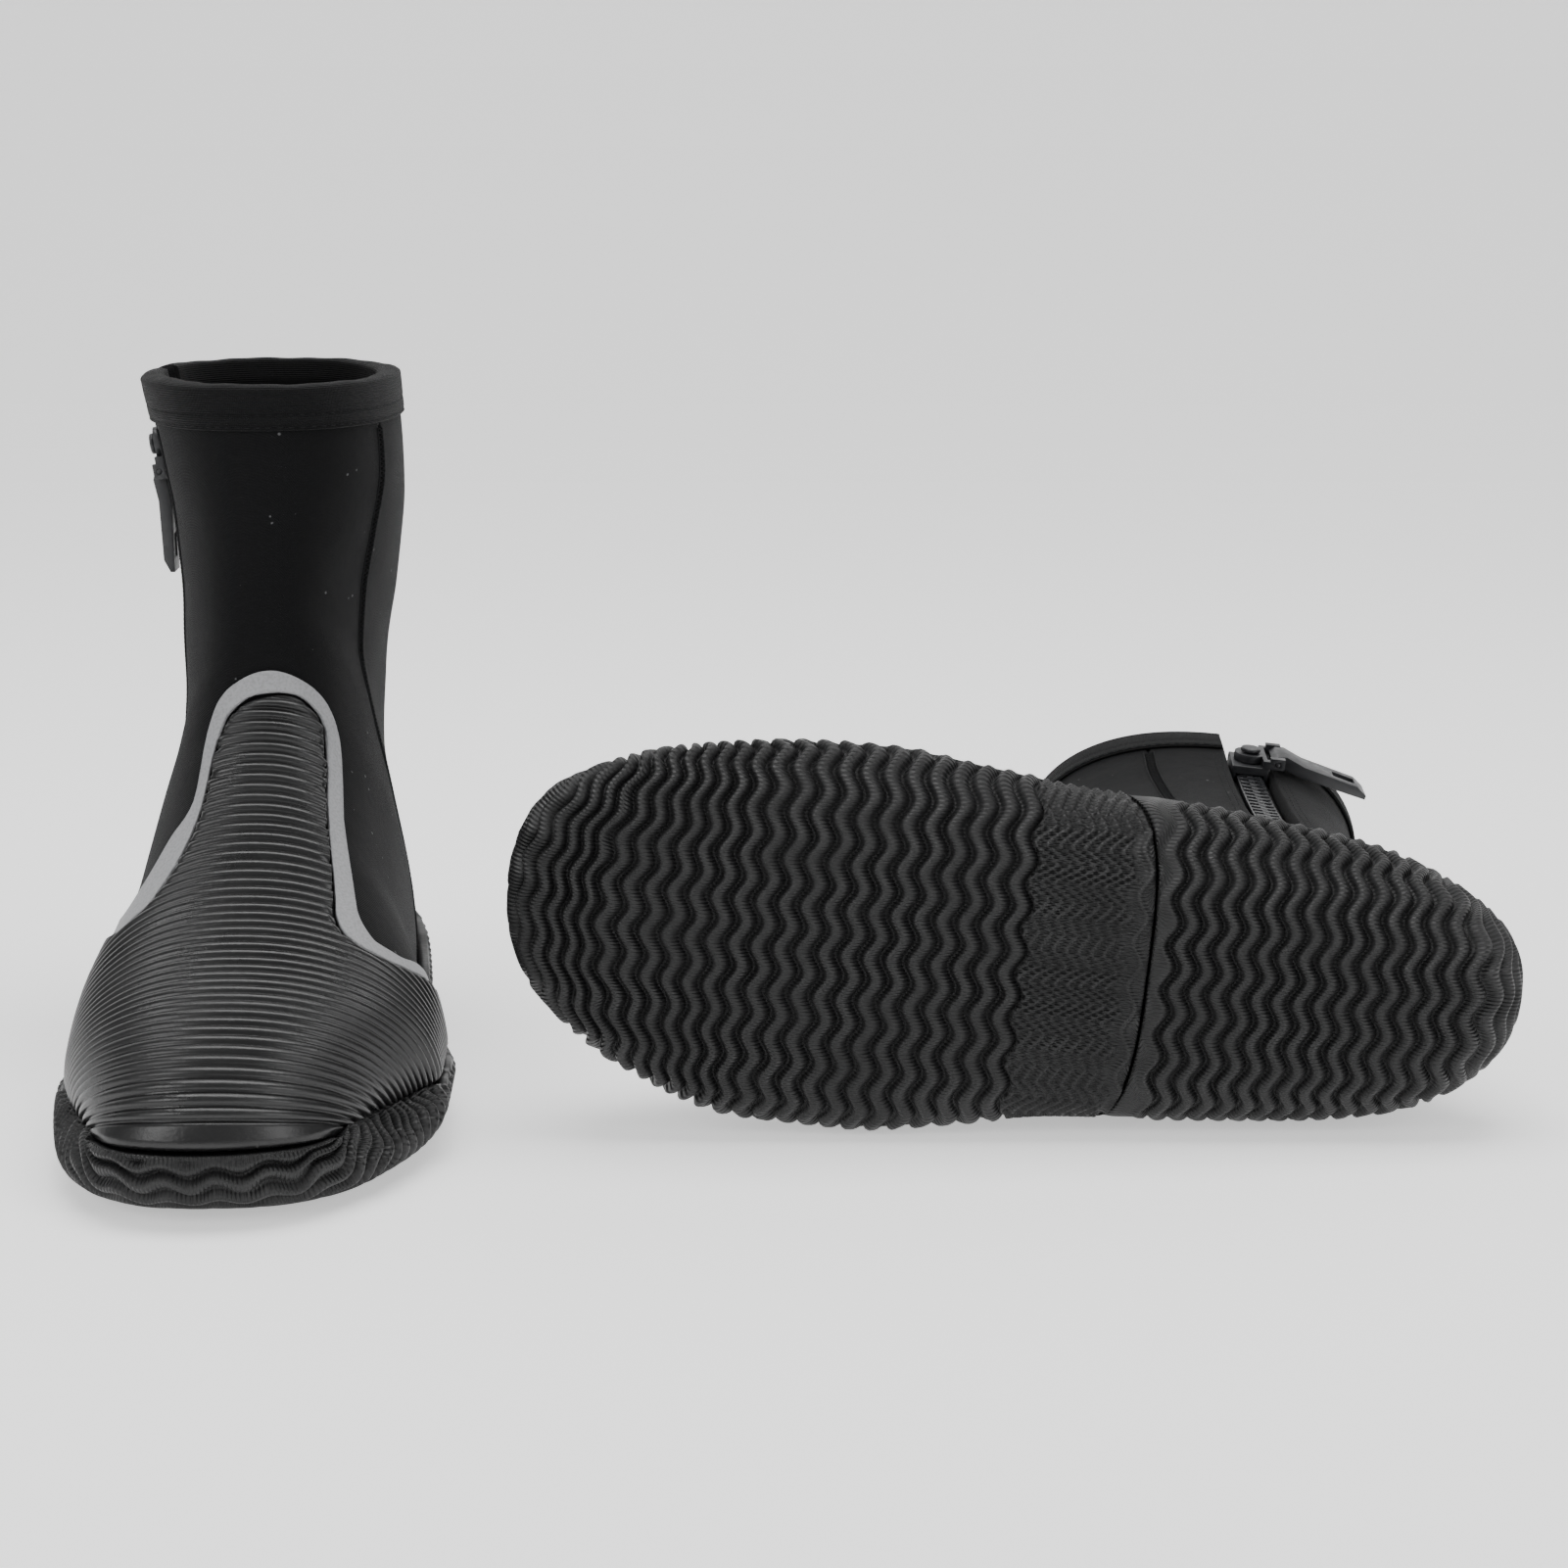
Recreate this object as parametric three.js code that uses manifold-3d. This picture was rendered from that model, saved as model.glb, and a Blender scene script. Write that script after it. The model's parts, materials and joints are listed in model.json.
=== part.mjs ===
// Pair of zipped neoprene boots for diving and paddling.
//
// One boot is drawn in its pattern frame, in millimetres: +X is the lateral (outer) side, +Y runs
// from the heel to the toe and +Z is up, for a right foot. The left boot is its mirror image.
// The left boot stands on its sole. The right boot lies on its lateral side, sole to the front.
//
// The shell of a boot is one surface of two parameters. The station runs from 0 at the toe to
// collarStation at the shaft's rim, and the angle runs round the girth: 0 degrees on the top line,
// 90 on the lateral edge, 180 on the sole's centre line and the heel's back, 270 on the medial edge.
// Every layer (neoprene, trim, overlay, outsole, footbed) is a patch of that surface between two
// depths, measured along its normal, so neighbouring layers stay parallel.

import * as THREE from "three";
import { mergeVertices } from "three/addons/utils/BufferGeometryUtils.js";
import Module from "manifold-3d";

const wasm = await Module();
wasm.setup();

// ---------------------------------------------------------------- driving dimensions

const footLength = 296;
const shaftHeight = 215.6;
const ballWidth = 106.5;
const ankleHeight = 60;

const neopreneThickness = 5;
const outsoleThickness = 5;
const overlayThickness = 2.4;
const trimThickness = 1;
const footbedThickness = 3;
const bindingHeight = 13;
const bindingLining = 9;
const bindingThickness = 1;
const bindingZipInset = 1;

const layerGap = 0.3;
const vampGap = 0.65;
const liningGap = 0.4;
const footbedGap = 0.8;
const seamGap = 0.35;
const overlaySeam = 0.85;

const zipForward = 62;
const zipWaist = 31.2;
const zipWaistHeight = 112;
const zipRadius = 520;
const zipTop = 204;
const zipBottom = 70;
const zipSlotWidth = 14.5;
const zipSlotPoint = 12;
const tapeWidth = 14;
const tapeThickness = 1;
const gussetWidth = 34;
const gussetThickness = 1.5;
const toothPitch = 4.4;
const toothHeight = 2.5;
const toothReach = 1;
const toothLength = 5.5;
const toothGap = 0.3;
const cordWidth = 1.2;
const cordDrop = 0.4;
const stopLength = 3;
const stopRise = 1.2;

const sliderLength = 16;
const sliderThickness = 3;
const sliderWall = 1.5;
const sliderGap = 0.3;
const postRadius = 2.2;
const capRadius = 3.4;
const capHeight = 1.4;
const swivelGap = 0.3;
const ringRadius = 5.4;
const ringThickness = 2.6;
const crownWidth = 19;
const crownDepth = 5;
const crownHeight = 3.8;
const crownReach = 8.6;
const earThickness = 3;
const pinRadius = 0.9;
const pinClearance = 0.12;
const tabLength = 42;
const tabWidth = 12;
const tabThickness = 4.4;
const tabNeck = 10;
const tabStep = 3.2;
const tabEndBevel = 2;
const tabWindowLength = 8;
const tabWindowWidth = 5;
const tabWindowMargin = 4.5;
const tabShoulder = 0.4;
const tabNeckRise = 2.2;
const tabTopRise = 1.6;
const tabBackRise = 2.6;
const bridgeInset = 1.6;
const joinDepth = 0.5;
const knuckleEase = 0.1;
const shoulderShare = 0.3;

const toothCount = Math.floor((zipTop - zipBottom - 2 * stopLength) / toothPitch);
const roundSides = 16;
const pinSides = 10;

// Where the boots lie: the standing boot's turn about the vertical, the lying boot's turns, and
// the lying boot's place from the standing boot's toe.
const standingTurn = THREE.MathUtils.degToRad(2.1);
const lyingRoll = THREE.MathUtils.degToRad(-1.6);
const lyingTilt = THREE.MathUtils.degToRad(6.5);
const lyingTurn = THREE.MathUtils.degToRad(-0.3);
const lyingAcross = 231;
const lyingBehind = 77.5;

// How each boot's pull is left: the crown's turn about the slider's post, and the tab's lift.
const standingPull = { swivel: 0, lift: THREE.MathUtils.degToRad(7.5) };
const lyingPull = { swivel: THREE.MathUtils.degToRad(90), lift: THREE.MathUtils.degToRad(-12.5) };

const colours = {
  neoprene: 0x101112,
  lining: 0x17181a,
  binding: 0x0d0e0f,
  rubber: 0x161718,
  outsole: 0x131415,
  trim: 0x94969a,
  tape: 0x0f1011,
  plastic: 0x191a1c,
  footbed: 0x1d1e20,
};

// ---------------------------------------------------------------- the boot's pattern

// The pattern is drawn at one reference size and graded to the driving dimensions.
const pattern = { length: 296, height: 215.6, ball: 106.5, ankle: 60 };
const collarStation = 282;
const shankStation = 150;

const forward = (y) => (y * footLength) / pattern.length;
const across = (x) => (x * ballWidth) / pattern.ball;

function upward(z) {
  if (z <= pattern.ankle) return (z * ankleHeight) / pattern.ankle;
  const stretch = (shaftHeight - ankleHeight) / (pattern.height - pattern.ankle);
  return ankleHeight + (z - pattern.ankle) * stretch;
}

// Station, distance from the heel and height of the three lines that carry the girths.
const topLine = [
  [0, 296, 21],
  [12, 291.5, 32],
  [25, 281.5, 41],
  [45, 262.5, 49.5],
  [75, 232.5, 58.5],
  [105, 204, 69.5],
  [130, 182, 82],
  [150, 166, 94],
  [168, 152, 106],
  [184, 142.5, 118.5],
  [208, 136, 142],
  [232, 133.5, 166],
  [282, 133, 215.6],
];

const edgeLine = [
  [0, 278, 20.5],
  [12, 261, 19],
  [25, 247, 18.5],
  [45, 233.5, 18],
  [75, 215, 18],
  [105, 189, 18],
  [130, 162, 19],
  [150, 136, 21],
  [168, 108, 27],
  [184, 84, 41],
  [196, 72, 51],
  [208, 66, 71.5],
  [220, 63.5, 100],
  [232, 64, 125],
  [246, 66, 152],
  [262, 68, 180],
  [282, 68, 215.6],
];

const bottomLine = [
  [0, 296, 21],
  [12, 294.7, 14],
  [25, 288.3, 8.5],
  [45, 273.5, 6],
  [75, 244, 5.3],
  [105, 203, 5.3],
  [130, 165, 5.3],
  [150, 127, 5.3],
  [168, 88, 5.3],
  [184, 45, 5.3],
  [196, 14, 8],
  [208, 1, 28],
  [220, 13, 58],
  [232, 22, 95],
  [246, 27, 130],
  [262, 24, 168],
  [282, 18, 215.6],
];

// Station and half width on the medial and the lateral side, up to the ankle on the medial one.
const medialWidth = [
  [0, 31],
  [12, 36],
  [25, 41],
  [45, 45.5],
  [75, 49.5],
  [105, 51],
  [130, 48],
  [150, 45],
  [168, 43.5],
  [184, 40.5],
  [196, 37],
];

const lateralWidth = [
  [0, 30],
  [12, 36],
  [25, 41.5],
  [45, 48],
  [75, 55.5],
  [105, 55.5],
  [130, 51],
  [150, 45.5],
  [168, 43.5],
  [184, 41.5],
  [196, 38.5],
  [208, 34.7],
  [220, 31.3],
  [232, 32.7],
  [246, 37],
  [262, 40.5],
  [282, 38],
];

// Station and shift of the girth's middle towards the medial side.
const middleShift = [
  [0, -3],
  [25, -2],
  [75, 0],
  [282, 0],
];

// Station and fullness of the girth above and below its edges: 2 is an ellipse, more is squarer.
const upperFullness = [
  [0, 2],
  [45, 2.2],
  [184, 2.2],
  [232, 2.3],
  [282, 2.3],
];

const lowerFullness = [
  [0, 2],
  [25, 2.7],
  [45, 3.2],
  [184, 3.2],
  [208, 2.4],
  [282, 2.2],
];

// The grid that all layers share. Its stations are the pattern's, with one more at the toe and
// one more at the rim, and its angles are in degrees.
const gridStations = [0, 5, ...edgeLine.slice(1, -1).map((row) => row[0]), 272, collarStation];
const halfAngles = [12, 22, 33, 45, 60, 75, 90, 105, 120, 138, 159];
const gridAngles = [0, ...halfAngles, 180, ...halfAngles.map((angle) => 360 - angle).reverse()];

// Smooth curve through points, with no overshoot: a monotone cubic (Fritsch and Carlson).
function curveThrough(rows, column = 1) {
  const xs = rows.map((row) => row[0]);
  const ys = rows.map((row) => row[column]);
  const last = xs.length - 1;
  const steps = xs.slice(1).map((x, i) => x - xs[i]);
  const secants = steps.map((step, i) => (ys[i + 1] - ys[i]) / step);
  const slopes = xs.map((x, i) => {
    if (i === 0) return secants[0];
    if (i === last) return secants[last - 1];
    if (secants[i - 1] * secants[i] <= 0) return 0;
    const before = 2 * steps[i] + steps[i - 1];
    const after = steps[i] + 2 * steps[i - 1];
    return (before + after) / (before / secants[i - 1] + after / secants[i]);
  });
  return (x) => {
    const i = Math.min(Math.max(xs.findLastIndex((start) => start <= x), 0), last - 1);
    const t = (x - xs[i]) / steps[i];
    const rise = 3 * t * t - 2 * t * t * t;
    const leave = t * (1 - t) * (1 - t);
    const arrive = t * t * (t - 1);
    return ys[i] + (ys[i + 1] - ys[i]) * rise + steps[i] * (leave * slopes[i] + arrive * slopes[i + 1]);
  };
}

// The zip runs down the medial side on an arc whose centre lies outside the boot, and the boot's
// waist on that side follows the same arc.
const zipCentre = new THREE.Vector3(-(zipWaist + zipRadius), forward(zipForward), upward(zipWaistHeight));

function waistAt(height) {
  const drop = height - zipCentre.z;
  return zipWaist + zipRadius - Math.sqrt(zipRadius * zipRadius - drop * drop);
}

const topY = curveThrough(topLine.map(([s, y]) => [s, forward(y)]));
const topZ = curveThrough(topLine.map(([s, , z]) => [s, upward(z)]));
const edgeY = curveThrough(edgeLine.map(([s, y]) => [s, forward(y)]));
const edgeZ = curveThrough(edgeLine.map(([s, , z]) => [s, upward(z)]));
const bottomY = curveThrough(bottomLine.map(([s, y]) => [s, forward(y)]));
const bottomZ = curveThrough(bottomLine.map(([s, , z]) => [s, upward(z)]));
const ankleRows = edgeLine.filter(([s]) => s > medialWidth.at(-1)[0]);
const medial = curveThrough([
  ...medialWidth.map(([s, x]) => [s, across(x)]),
  ...ankleRows.map(([s, , z]) => [s, waistAt(upward(z))]),
]);
const lateral = curveThrough(lateralWidth.map(([s, x]) => [s, across(x)]));
const middle = curveThrough(middleShift);
const upper = curveThrough(upperFullness);
const lower = curveThrough(lowerFullness);

const radians = THREE.MathUtils.degToRad;
const degrees = THREE.MathUtils.radToDeg;

// Point of the boot's outer neoprene surface: a superellipse that leans with its station.
function surfacePoint(station, angle) {
  const cosine = Math.cos(radians(angle));
  const sine = Math.sin(radians(angle));
  const above = cosine >= 0;
  const power = 2 / (above ? upper(station) : lower(station));
  const rise = Math.abs(cosine) ** power;
  const spread = Math.abs(sine) ** power;
  const endY = above ? topY(station) : bottomY(station);
  const endZ = above ? topZ(station) : bottomZ(station);
  const width = sine >= 0 ? lateral(station) : -medial(station);
  return new THREE.Vector3(
    middle(station) * rise + width * spread,
    edgeY(station) + (endY - edgeY(station)) * rise,
    edgeZ(station) + (endZ - edgeZ(station)) * rise,
  );
}

function slopeNormal(station, angle) {
  const s = THREE.MathUtils.clamp(station, 0.6, collarStation - 0.2);
  const along = surfacePoint(s + 0.1, angle).sub(surfacePoint(s - 0.1, angle));
  const around = surfacePoint(s, angle + 0.2).sub(surfacePoint(s, angle - 0.2));
  return along.cross(around).normalize();
}

// Level normal of the edge line, where the upper meets the sole.
function edgeNormal(station, side) {
  const s = Math.max(station, 0.6);
  const along = surfacePoint(s + 2, 90 * side).sub(surfacePoint(s - 0.5, 90 * side));
  return new THREE.Vector3(-along.y, along.x, 0).multiplyScalar(side).normalize();
}

// Outward normal. Station 0 is the toe's edge, where the upper and the lower half meet, so there
// it is the mean of both, and it is level all along the edge of the sole's front part.
function surfaceNormal(station, angle) {
  if (station <= shankStation && angle % 180 === 90) return edgeNormal(station, angle < 180 ? 1 : -1);
  const normal = slopeNormal(station, angle);
  if (station > 0) return normal;
  return normal.add(slopeNormal(station, 180 - angle)).normalize();
}

const gridPoints = gridStations.map((s) => gridAngles.map((angle) => surfacePoint(s, angle)));
const gridNormals = gridStations.map((s) => gridAngles.map((angle) => surfaceNormal(s, angle)));

// Point of a layer at any station and angle: the shared grid, read linearly, moved by its depth.
function layerPoint(station, angle, depth) {
  const turn = ((angle % 360) + 360) % 360;
  const row = Math.min(gridStations.findLastIndex((s) => s <= station), gridStations.length - 2);
  const column = gridAngles.findLastIndex((a) => a <= turn);
  const next = (column + 1) % gridAngles.length;
  const span = (next === 0 ? 360 : gridAngles[next]) - gridAngles[column];
  const t = (station - gridStations[row]) / (gridStations[row + 1] - gridStations[row]);
  const u = (turn - gridAngles[column]) / span;
  const corner = (i, j) => gridPoints[i][j].clone().addScaledVector(gridNormals[i][j], depth);
  const near = corner(row, column).lerp(corner(row, next), u);
  const far = corner(row + 1, column).lerp(corner(row + 1, next), u);
  return near.lerp(far, t);
}

// Angle at which a station's girth passes a distance from the heel, on the lateral side.
function angleAt(station, y) {
  const toTop = (y - edgeY(station)) / (topY(station) - edgeY(station));
  const toBottom = (edgeY(station) - y) / (edgeY(station) - bottomY(station));
  if (toTop >= 0) return degrees(Math.acos(Math.min(toTop, 1) ** (upper(station) / 2)));
  return 180 - degrees(Math.acos(Math.min(toBottom, 1) ** (lower(station) / 2)));
}

// Station between two limits where a rising function reaches a value, by halving.
function stationWhere(rising, value, low, high) {
  let from = low;
  let to = high;
  for (let step = 0; step < 40; step += 1) {
    const middleStation = (from + to) / 2;
    if (rising(middleStation) < value) from = middleStation;
    else to = middleStation;
  }
  return (from + to) / 2;
}

// ---------------------------------------------------------------- lines on the surface

// Feather line, where the outsole's wall ends: on the girth's edge in the forefoot, and from the
// shank back at a height that climbs to the top of the heel cup.
const heelCupHeight = 31;
const heelCupStation = stationWhere(bottomZ, heelCupHeight, 196, 220);
const featherHeight = curveThrough([
  [shankStation, edgeZ(shankStation)],
  [168, 23.5],
  [184, 26.5],
  [heelCupStation, heelCupHeight],
]);

function featherAngle(station) {
  if (station <= shankStation) return 90;
  if (station >= heelCupStation) return 180;
  const reach = (edgeZ(station) - featherHeight(station)) / (edgeZ(station) - bottomZ(station));
  return 180 - degrees(Math.acos(THREE.MathUtils.clamp(reach, 0, 1) ** (lower(station) / 2)));
}

const featherStation = (angle) => stationWhere(featherAngle, angle, shankStation, heelCupStation);

// The flatlock seams run down the shaft and then back to the heel cup.
const lateralSeamFoot = 177;
const medialSeamFoot = 172;

function seamAngle(shaftAngle, foot) {
  const line = curveThrough([
    [foot, featherAngle(foot)],
    [196, (shaftAngle + featherAngle(foot)) / 2],
    [222, shaftAngle],
    [collarStation, shaftAngle],
  ]);
  return (station) => (station <= foot ? featherAngle(station) : line(station));
}

const lateralSeam = seamAngle(60, lateralSeamFoot);
const medialSeam = seamAngle(68, medialSeamFoot);

// Half of the zip's slot, which closes to a seam below the zip.
function slotHalf(station) {
  const above = edgeZ(station) - upward(zipBottom) + stopLength;
  const share = THREE.MathUtils.clamp((above + zipSlotPoint) / zipSlotPoint, 0, 1);
  return seamGap / 2 + (zipSlotWidth / 2 - seamGap / 2) * share;
}

// Angle on the medial side at which the middle of the shell passes a distance from the zip.
function zipAngle(station, offset) {
  const forwardAt = (angle) => layerPoint(station, angle, -neopreneThickness / 2).y;
  return stationWhere(forwardAt, zipCentre.y + offset, 180, 359.9);
}

const zipFoot = stationWhere((s) => featherAngle(s) - angleAt(s, zipCentre.y), 0, 180, 200);
const zipStation = (height) => stationWhere(edgeZ, upward(height), 196, collarStation);

// Angle that a distance along the girth takes up, on the boot's usual radius.
const girthRadius = 37;
const degreesFor = (distance) => degrees(distance / girthRadius);

// Outline of the ribbed overlay and of the trim round it: the station that each reaches at an
// angle, from the medial edge of the sole over the instep to the lateral edge.
const overlayEdge = curveThrough([
  [-90, 145],
  [-72, 141],
  [-58, 126],
  [-44, 114],
  [-35, 114.5],
  [-28, 123],
  [-19, 148],
  [-16, 172],
  [-12, 182],
  [0, 187.5],
  [12, 188.5],
  [20, 186],
  [24, 180],
  [26, 106],
  [32, 96],
  [38, 94.5],
  [45, 95.5],
  [55, 101],
  [73, 117],
  [90, 122],
]);

const trimEdge = curveThrough([
  [-90, 152],
  [-72, 148],
  [-61, 138],
  [-48, 127],
  [-40, 132],
  [-31, 144],
  [-22, 155],
  [-20.5, 178],
  [-17, 188],
  [-10, 192],
  [4, 195],
  [17, 193.5],
  [24, 191],
  [28, 186],
  [30, 178],
  [33, 112],
  [36, 105.5],
  [41, 101.5],
  [50, 103.5],
  [60, 112],
  [72, 122],
  [90, 128],
]);

const overlayMiddle = 4;
const overlayRise = degreesFor(overlaySeam);
const outlineAngles = [-40, -28, -25, -20.5, -19, -16, -8, 17, 24, 26, 28, 30, 38];

// ---------------------------------------------------------------- solids

// Closed geometry from points and triangles: equal points are joined, flat triangles are dropped.
function closedGeometry(points, triangles) {
  const geometry = new THREE.BufferGeometry();
  geometry.setAttribute("position", new THREE.Float32BufferAttribute(points.flatMap((p) => p.toArray()), 3));
  geometry.setIndex(triangles.flat());
  const merged = mergeVertices(geometry, 1e-3);
  const index = [...merged.index.array];
  const kept = [];
  for (let i = 0; i < index.length; i += 3) {
    const [a, b, c] = index.slice(i, i + 3);
    if (a !== b && b !== c && c !== a) kept.push(a, b, c);
  }
  merged.setIndex(kept);
  return merged;
}

// Wall of a body from closed rings: each ring is joined to the next, and the ends stay open.
// Rings run counter-clockwise when seen from the far end.
function ringSolid(rings) {
  const count = rings[0].length;
  const triangles = [];
  for (let i = 0; i + 1 < rings.length; i += 1) {
    for (let k = 0; k < count; k += 1) {
      const a = i * count + k;
      const b = i * count + ((k + 1) % count);
      triangles.push([a, b, b + count], [a, b + count, a + count]);
    }
  }
  return { points: rings.flat(), triangles };
}

// A patch of the shell between two depths. Its stations and angles include the grid's, so that
// its facets lie on the grid's, and both are held inside the patch's outline.
function shellPatch(outline) {
  const { from, to, start, end, inner, outer, extraAngles = [], extraStations = [], hold } = outline;
  const between = [...gridStations, ...extraStations].filter((s) => s > from && s < to);
  const stations = [from, ...between.sort((a, b) => a - b), to];
  const turns = [start, end, ...extraAngles];
  for (const turn of [-360, 0, 360]) turns.push(...gridAngles.map((angle) => angle + turn));
  const angles = [...new Set(turns)].filter((a) => a >= start && a <= end).sort((a, b) => a - b);
  const rows = stations.length;
  const columns = angles.length;
  const points = [];
  for (const depth of [outer, inner]) {
    for (const s of stations) {
      for (const angle of angles) points.push(layerPoint(...hold(s, angle), depth));
    }
  }
  const at = (side, i, j) => (side * rows + i) * columns + j;
  const triangles = [];
  const quad = (a, b, c, d) => triangles.push([a, b, c], [a, c, d]);
  for (let i = 0; i + 1 < rows; i += 1) {
    for (let j = 0; j + 1 < columns; j += 1) {
      quad(at(0, i, j), at(0, i + 1, j), at(0, i + 1, j + 1), at(0, i, j + 1));
      quad(at(1, i, j), at(1, i, j + 1), at(1, i + 1, j + 1), at(1, i + 1, j));
    }
    quad(at(0, i, 0), at(1, i, 0), at(1, i + 1, 0), at(0, i + 1, 0));
    const j = columns - 1;
    quad(at(0, i, j), at(0, i + 1, j), at(1, i + 1, j), at(1, i, j));
  }
  for (let j = 0; j + 1 < columns; j += 1) {
    quad(at(0, 0, j), at(0, 0, j + 1), at(1, 0, j + 1), at(1, 0, j));
    const i = rows - 1;
    quad(at(0, i, j), at(1, i, j), at(1, i, j + 1), at(0, i, j + 1));
  }
  return closedGeometry(points, triangles);
}

const clampAngle = (low, high) => (s, angle) => [s, THREE.MathUtils.clamp(angle, low(s), high(s))];

function toManifold(geometry) {
  const merged = joined(geometry);
  return new wasm.Manifold(
    new wasm.Mesh({
      numProp: 3,
      vertProperties: new Float32Array(merged.getAttribute("position").array),
      triVerts: new Uint32Array(merged.index.array),
    }),
  );
}

function fromManifold(solid) {
  const mesh = solid.getMesh();
  const geometry = new THREE.BufferGeometry();
  geometry.setAttribute("position", new THREE.BufferAttribute(mesh.vertProperties, 3));
  geometry.setIndex(new THREE.BufferAttribute(mesh.triVerts, 1));
  return geometry;
}

const unite = (...geometries) =>
  fromManifold(geometries.map(toManifold).reduce((whole, piece) => whole.add(piece)));

const cut = (geometry, ...tools) =>
  fromManifold(tools.map(toManifold).reduce((whole, tool) => whole.subtract(tool), toManifold(geometry)));

// Box between two corners.
function boxBetween(low, high) {
  const size = high.map((value, i) => value - low[i]);
  const box = new THREE.BoxGeometry(...size);
  return box.translate(...low.map((value, i) => value + size[i] / 2));
}

// A geometry from its positions alone, with equal points joined.
function joined(geometry) {
  const bare = new THREE.BufferGeometry();
  bare.setAttribute("position", geometry.getAttribute("position"));
  if (geometry.index) bare.setIndex(geometry.index);
  return mergeVertices(bare, 1e-4);
}

// The same faces with their corners in the other order, for a mirrored outline.
function turnedRound(geometry) {
  const position = geometry.getAttribute("position");
  const index = Array.from({ length: position.count }, (_, i) => i - (i % 3) + 2 - (i % 3));
  geometry.setIndex(index);
  return geometry;
}

// ---------------------------------------------------------------- the soft shell

const upperStart = 2 * seamGap;
const overlayStart = 8 * seamGap;
const soleStart = seamGap;
const neoprene = { inner: -neopreneThickness, outer: 0 };
const halfSeam = degreesFor(seamGap / 2);
const footbedTop = -(neopreneThickness + footbedGap + footbedThickness);

// Half a seam as an angle beside the sole's edge: the girths are small at the toe, so it widens.
const toeSpread = 10;
const toeSpreadEnd = 25;
const edgeSeam = (s) => halfSeam * (1 + (toeSpread - 1) * Math.max(0, 1 - s / toeSpreadEnd));
const soleLow = (s) => featherAngle(s) + edgeSeam(s);
const soleHigh = (s) => 360 - featherAngle(s) - edgeSeam(s);

function frontPanel() {
  const low = (s) => -Math.min(medialSeam(s), featherAngle(s)) + edgeSeam(s);
  const high = (s) => Math.min(lateralSeam(s), featherAngle(s)) - edgeSeam(s);
  const widest = featherAngle(lateralSeamFoot);
  return shellPatch({
    from: upperStart,
    to: collarStation,
    start: -widest,
    end: widest,
    ...neoprene,
    hold: clampAngle(low, high),
  });
}

function medialPanel() {
  const low = (s) => {
    if (s <= zipFoot) return -featherAngle(s) + halfSeam;
    return zipAngle(s, slotHalf(s)) - 360;
  };
  const high = (s) => Math.max(-medialSeam(s) - halfSeam, low(s));
  return shellPatch({
    from: medialSeamFoot,
    to: collarStation,
    start: -130,
    end: -60,
    extraStations: [zipFoot],
    ...neoprene,
    hold: clampAngle(low, high),
  });
}

function rearPanel() {
  const low = (s) => lateralSeam(s) + halfSeam;
  const high = (s) => (s <= zipFoot ? 360 - featherAngle(zipFoot) : zipAngle(s, -slotHalf(s)));
  const hold = (s, angle) => {
    const turn = THREE.MathUtils.clamp(angle, low(s), high(s));
    const fromSole = turn <= 180 ? turn : 360 - turn;
    return [Math.max(s, featherStation(fromSole) + seamGap), turn];
  };
  return shellPatch({
    from: lateralSeamFoot + seamGap,
    to: collarStation,
    start: 60,
    end: 276,
    extraStations: [zipFoot],
    ...neoprene,
    hold,
  });
}

function soleSock() {
  return shellPatch({
    from: soleStart,
    to: heelCupStation - seamGap,
    start: 90,
    end: 270,
    ...neoprene,
    hold: clampAngle(soleLow, soleHigh),
  });
}

const footbedToe = 36;
const footbedHeel = 184;
const footbedEdge = 138;

// The footbed lies on the sock, inside the turn of its walls, and narrows at the toes.
function footbed() {
  const edge = curveThrough([[30, 168], [45, 159], [75, footbedEdge], [footbedHeel, footbedEdge]]);
  return shellPatch({
    from: footbedToe,
    to: footbedHeel,
    start: footbedEdge,
    end: 360 - footbedEdge,
    inner: footbedTop,
    outer: footbedTop + footbedThickness,
    hold: clampAngle(edge, (s) => 360 - edge(s)),
  });
}

// ---------------------------------------------------------------- rubber and trim

const vampTurn = 90;
const vampTop = 200;
const trimStart = 90;

// Holds a point of the overlay inside its outline, a margin away from the trim.
const overlayHold = (margin) => (s, angle) => {
  const beside = angle + Math.sign(angle - overlayMiddle) * degreesFor(margin);
  const reach = Math.min(overlayEdge(angle), overlayEdge(THREE.MathUtils.clamp(beside, -vampTurn, vampTurn)));
  const widest = vampTurn - overlayRise - 2 * edgeSeam(s);
  return [Math.min(s, reach - margin), THREE.MathUtils.clamp(angle, -widest, widest)];
};

function toeOverlay() {
  return shellPatch({
    from: overlayStart,
    to: vampTop,
    start: -vampTurn + overlayRise,
    end: vampTurn - overlayRise,
    inner: vampGap,
    outer: vampGap + overlayThickness,
    extraAngles: outlineAngles,
    hold: overlayHold(overlaySeam),
  });
}

function instepTrim() {
  return shellPatch({
    from: trimStart,
    to: vampTop,
    start: -vampTurn + overlayRise,
    end: vampTurn - overlayRise,
    inner: vampGap,
    outer: vampGap + trimThickness,
    extraAngles: outlineAngles,
    hold: (s, angle) => [THREE.MathUtils.clamp(s, overlayEdge(angle), trimEdge(angle)), angle],
  });
}

const solePartStation = 158;
const treadDepth = 0.5;

// Part of the outsole. It is moulded a little deep and its tread is flat on the ground.
function outsole(from, to) {
  const moulded = shellPatch({
    from,
    to,
    start: 90,
    end: 270,
    inner: layerGap,
    outer: layerGap + outsoleThickness + treadDepth,
    hold: clampAngle(soleLow, soleHigh),
  });
  const ground = boxBetween([-ballWidth, -footLength, -footLength], [ballWidth, 2 * footLength, 0]);
  return cut(moulded, ground);
}

// ---------------------------------------------------------------- collar binding

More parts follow.
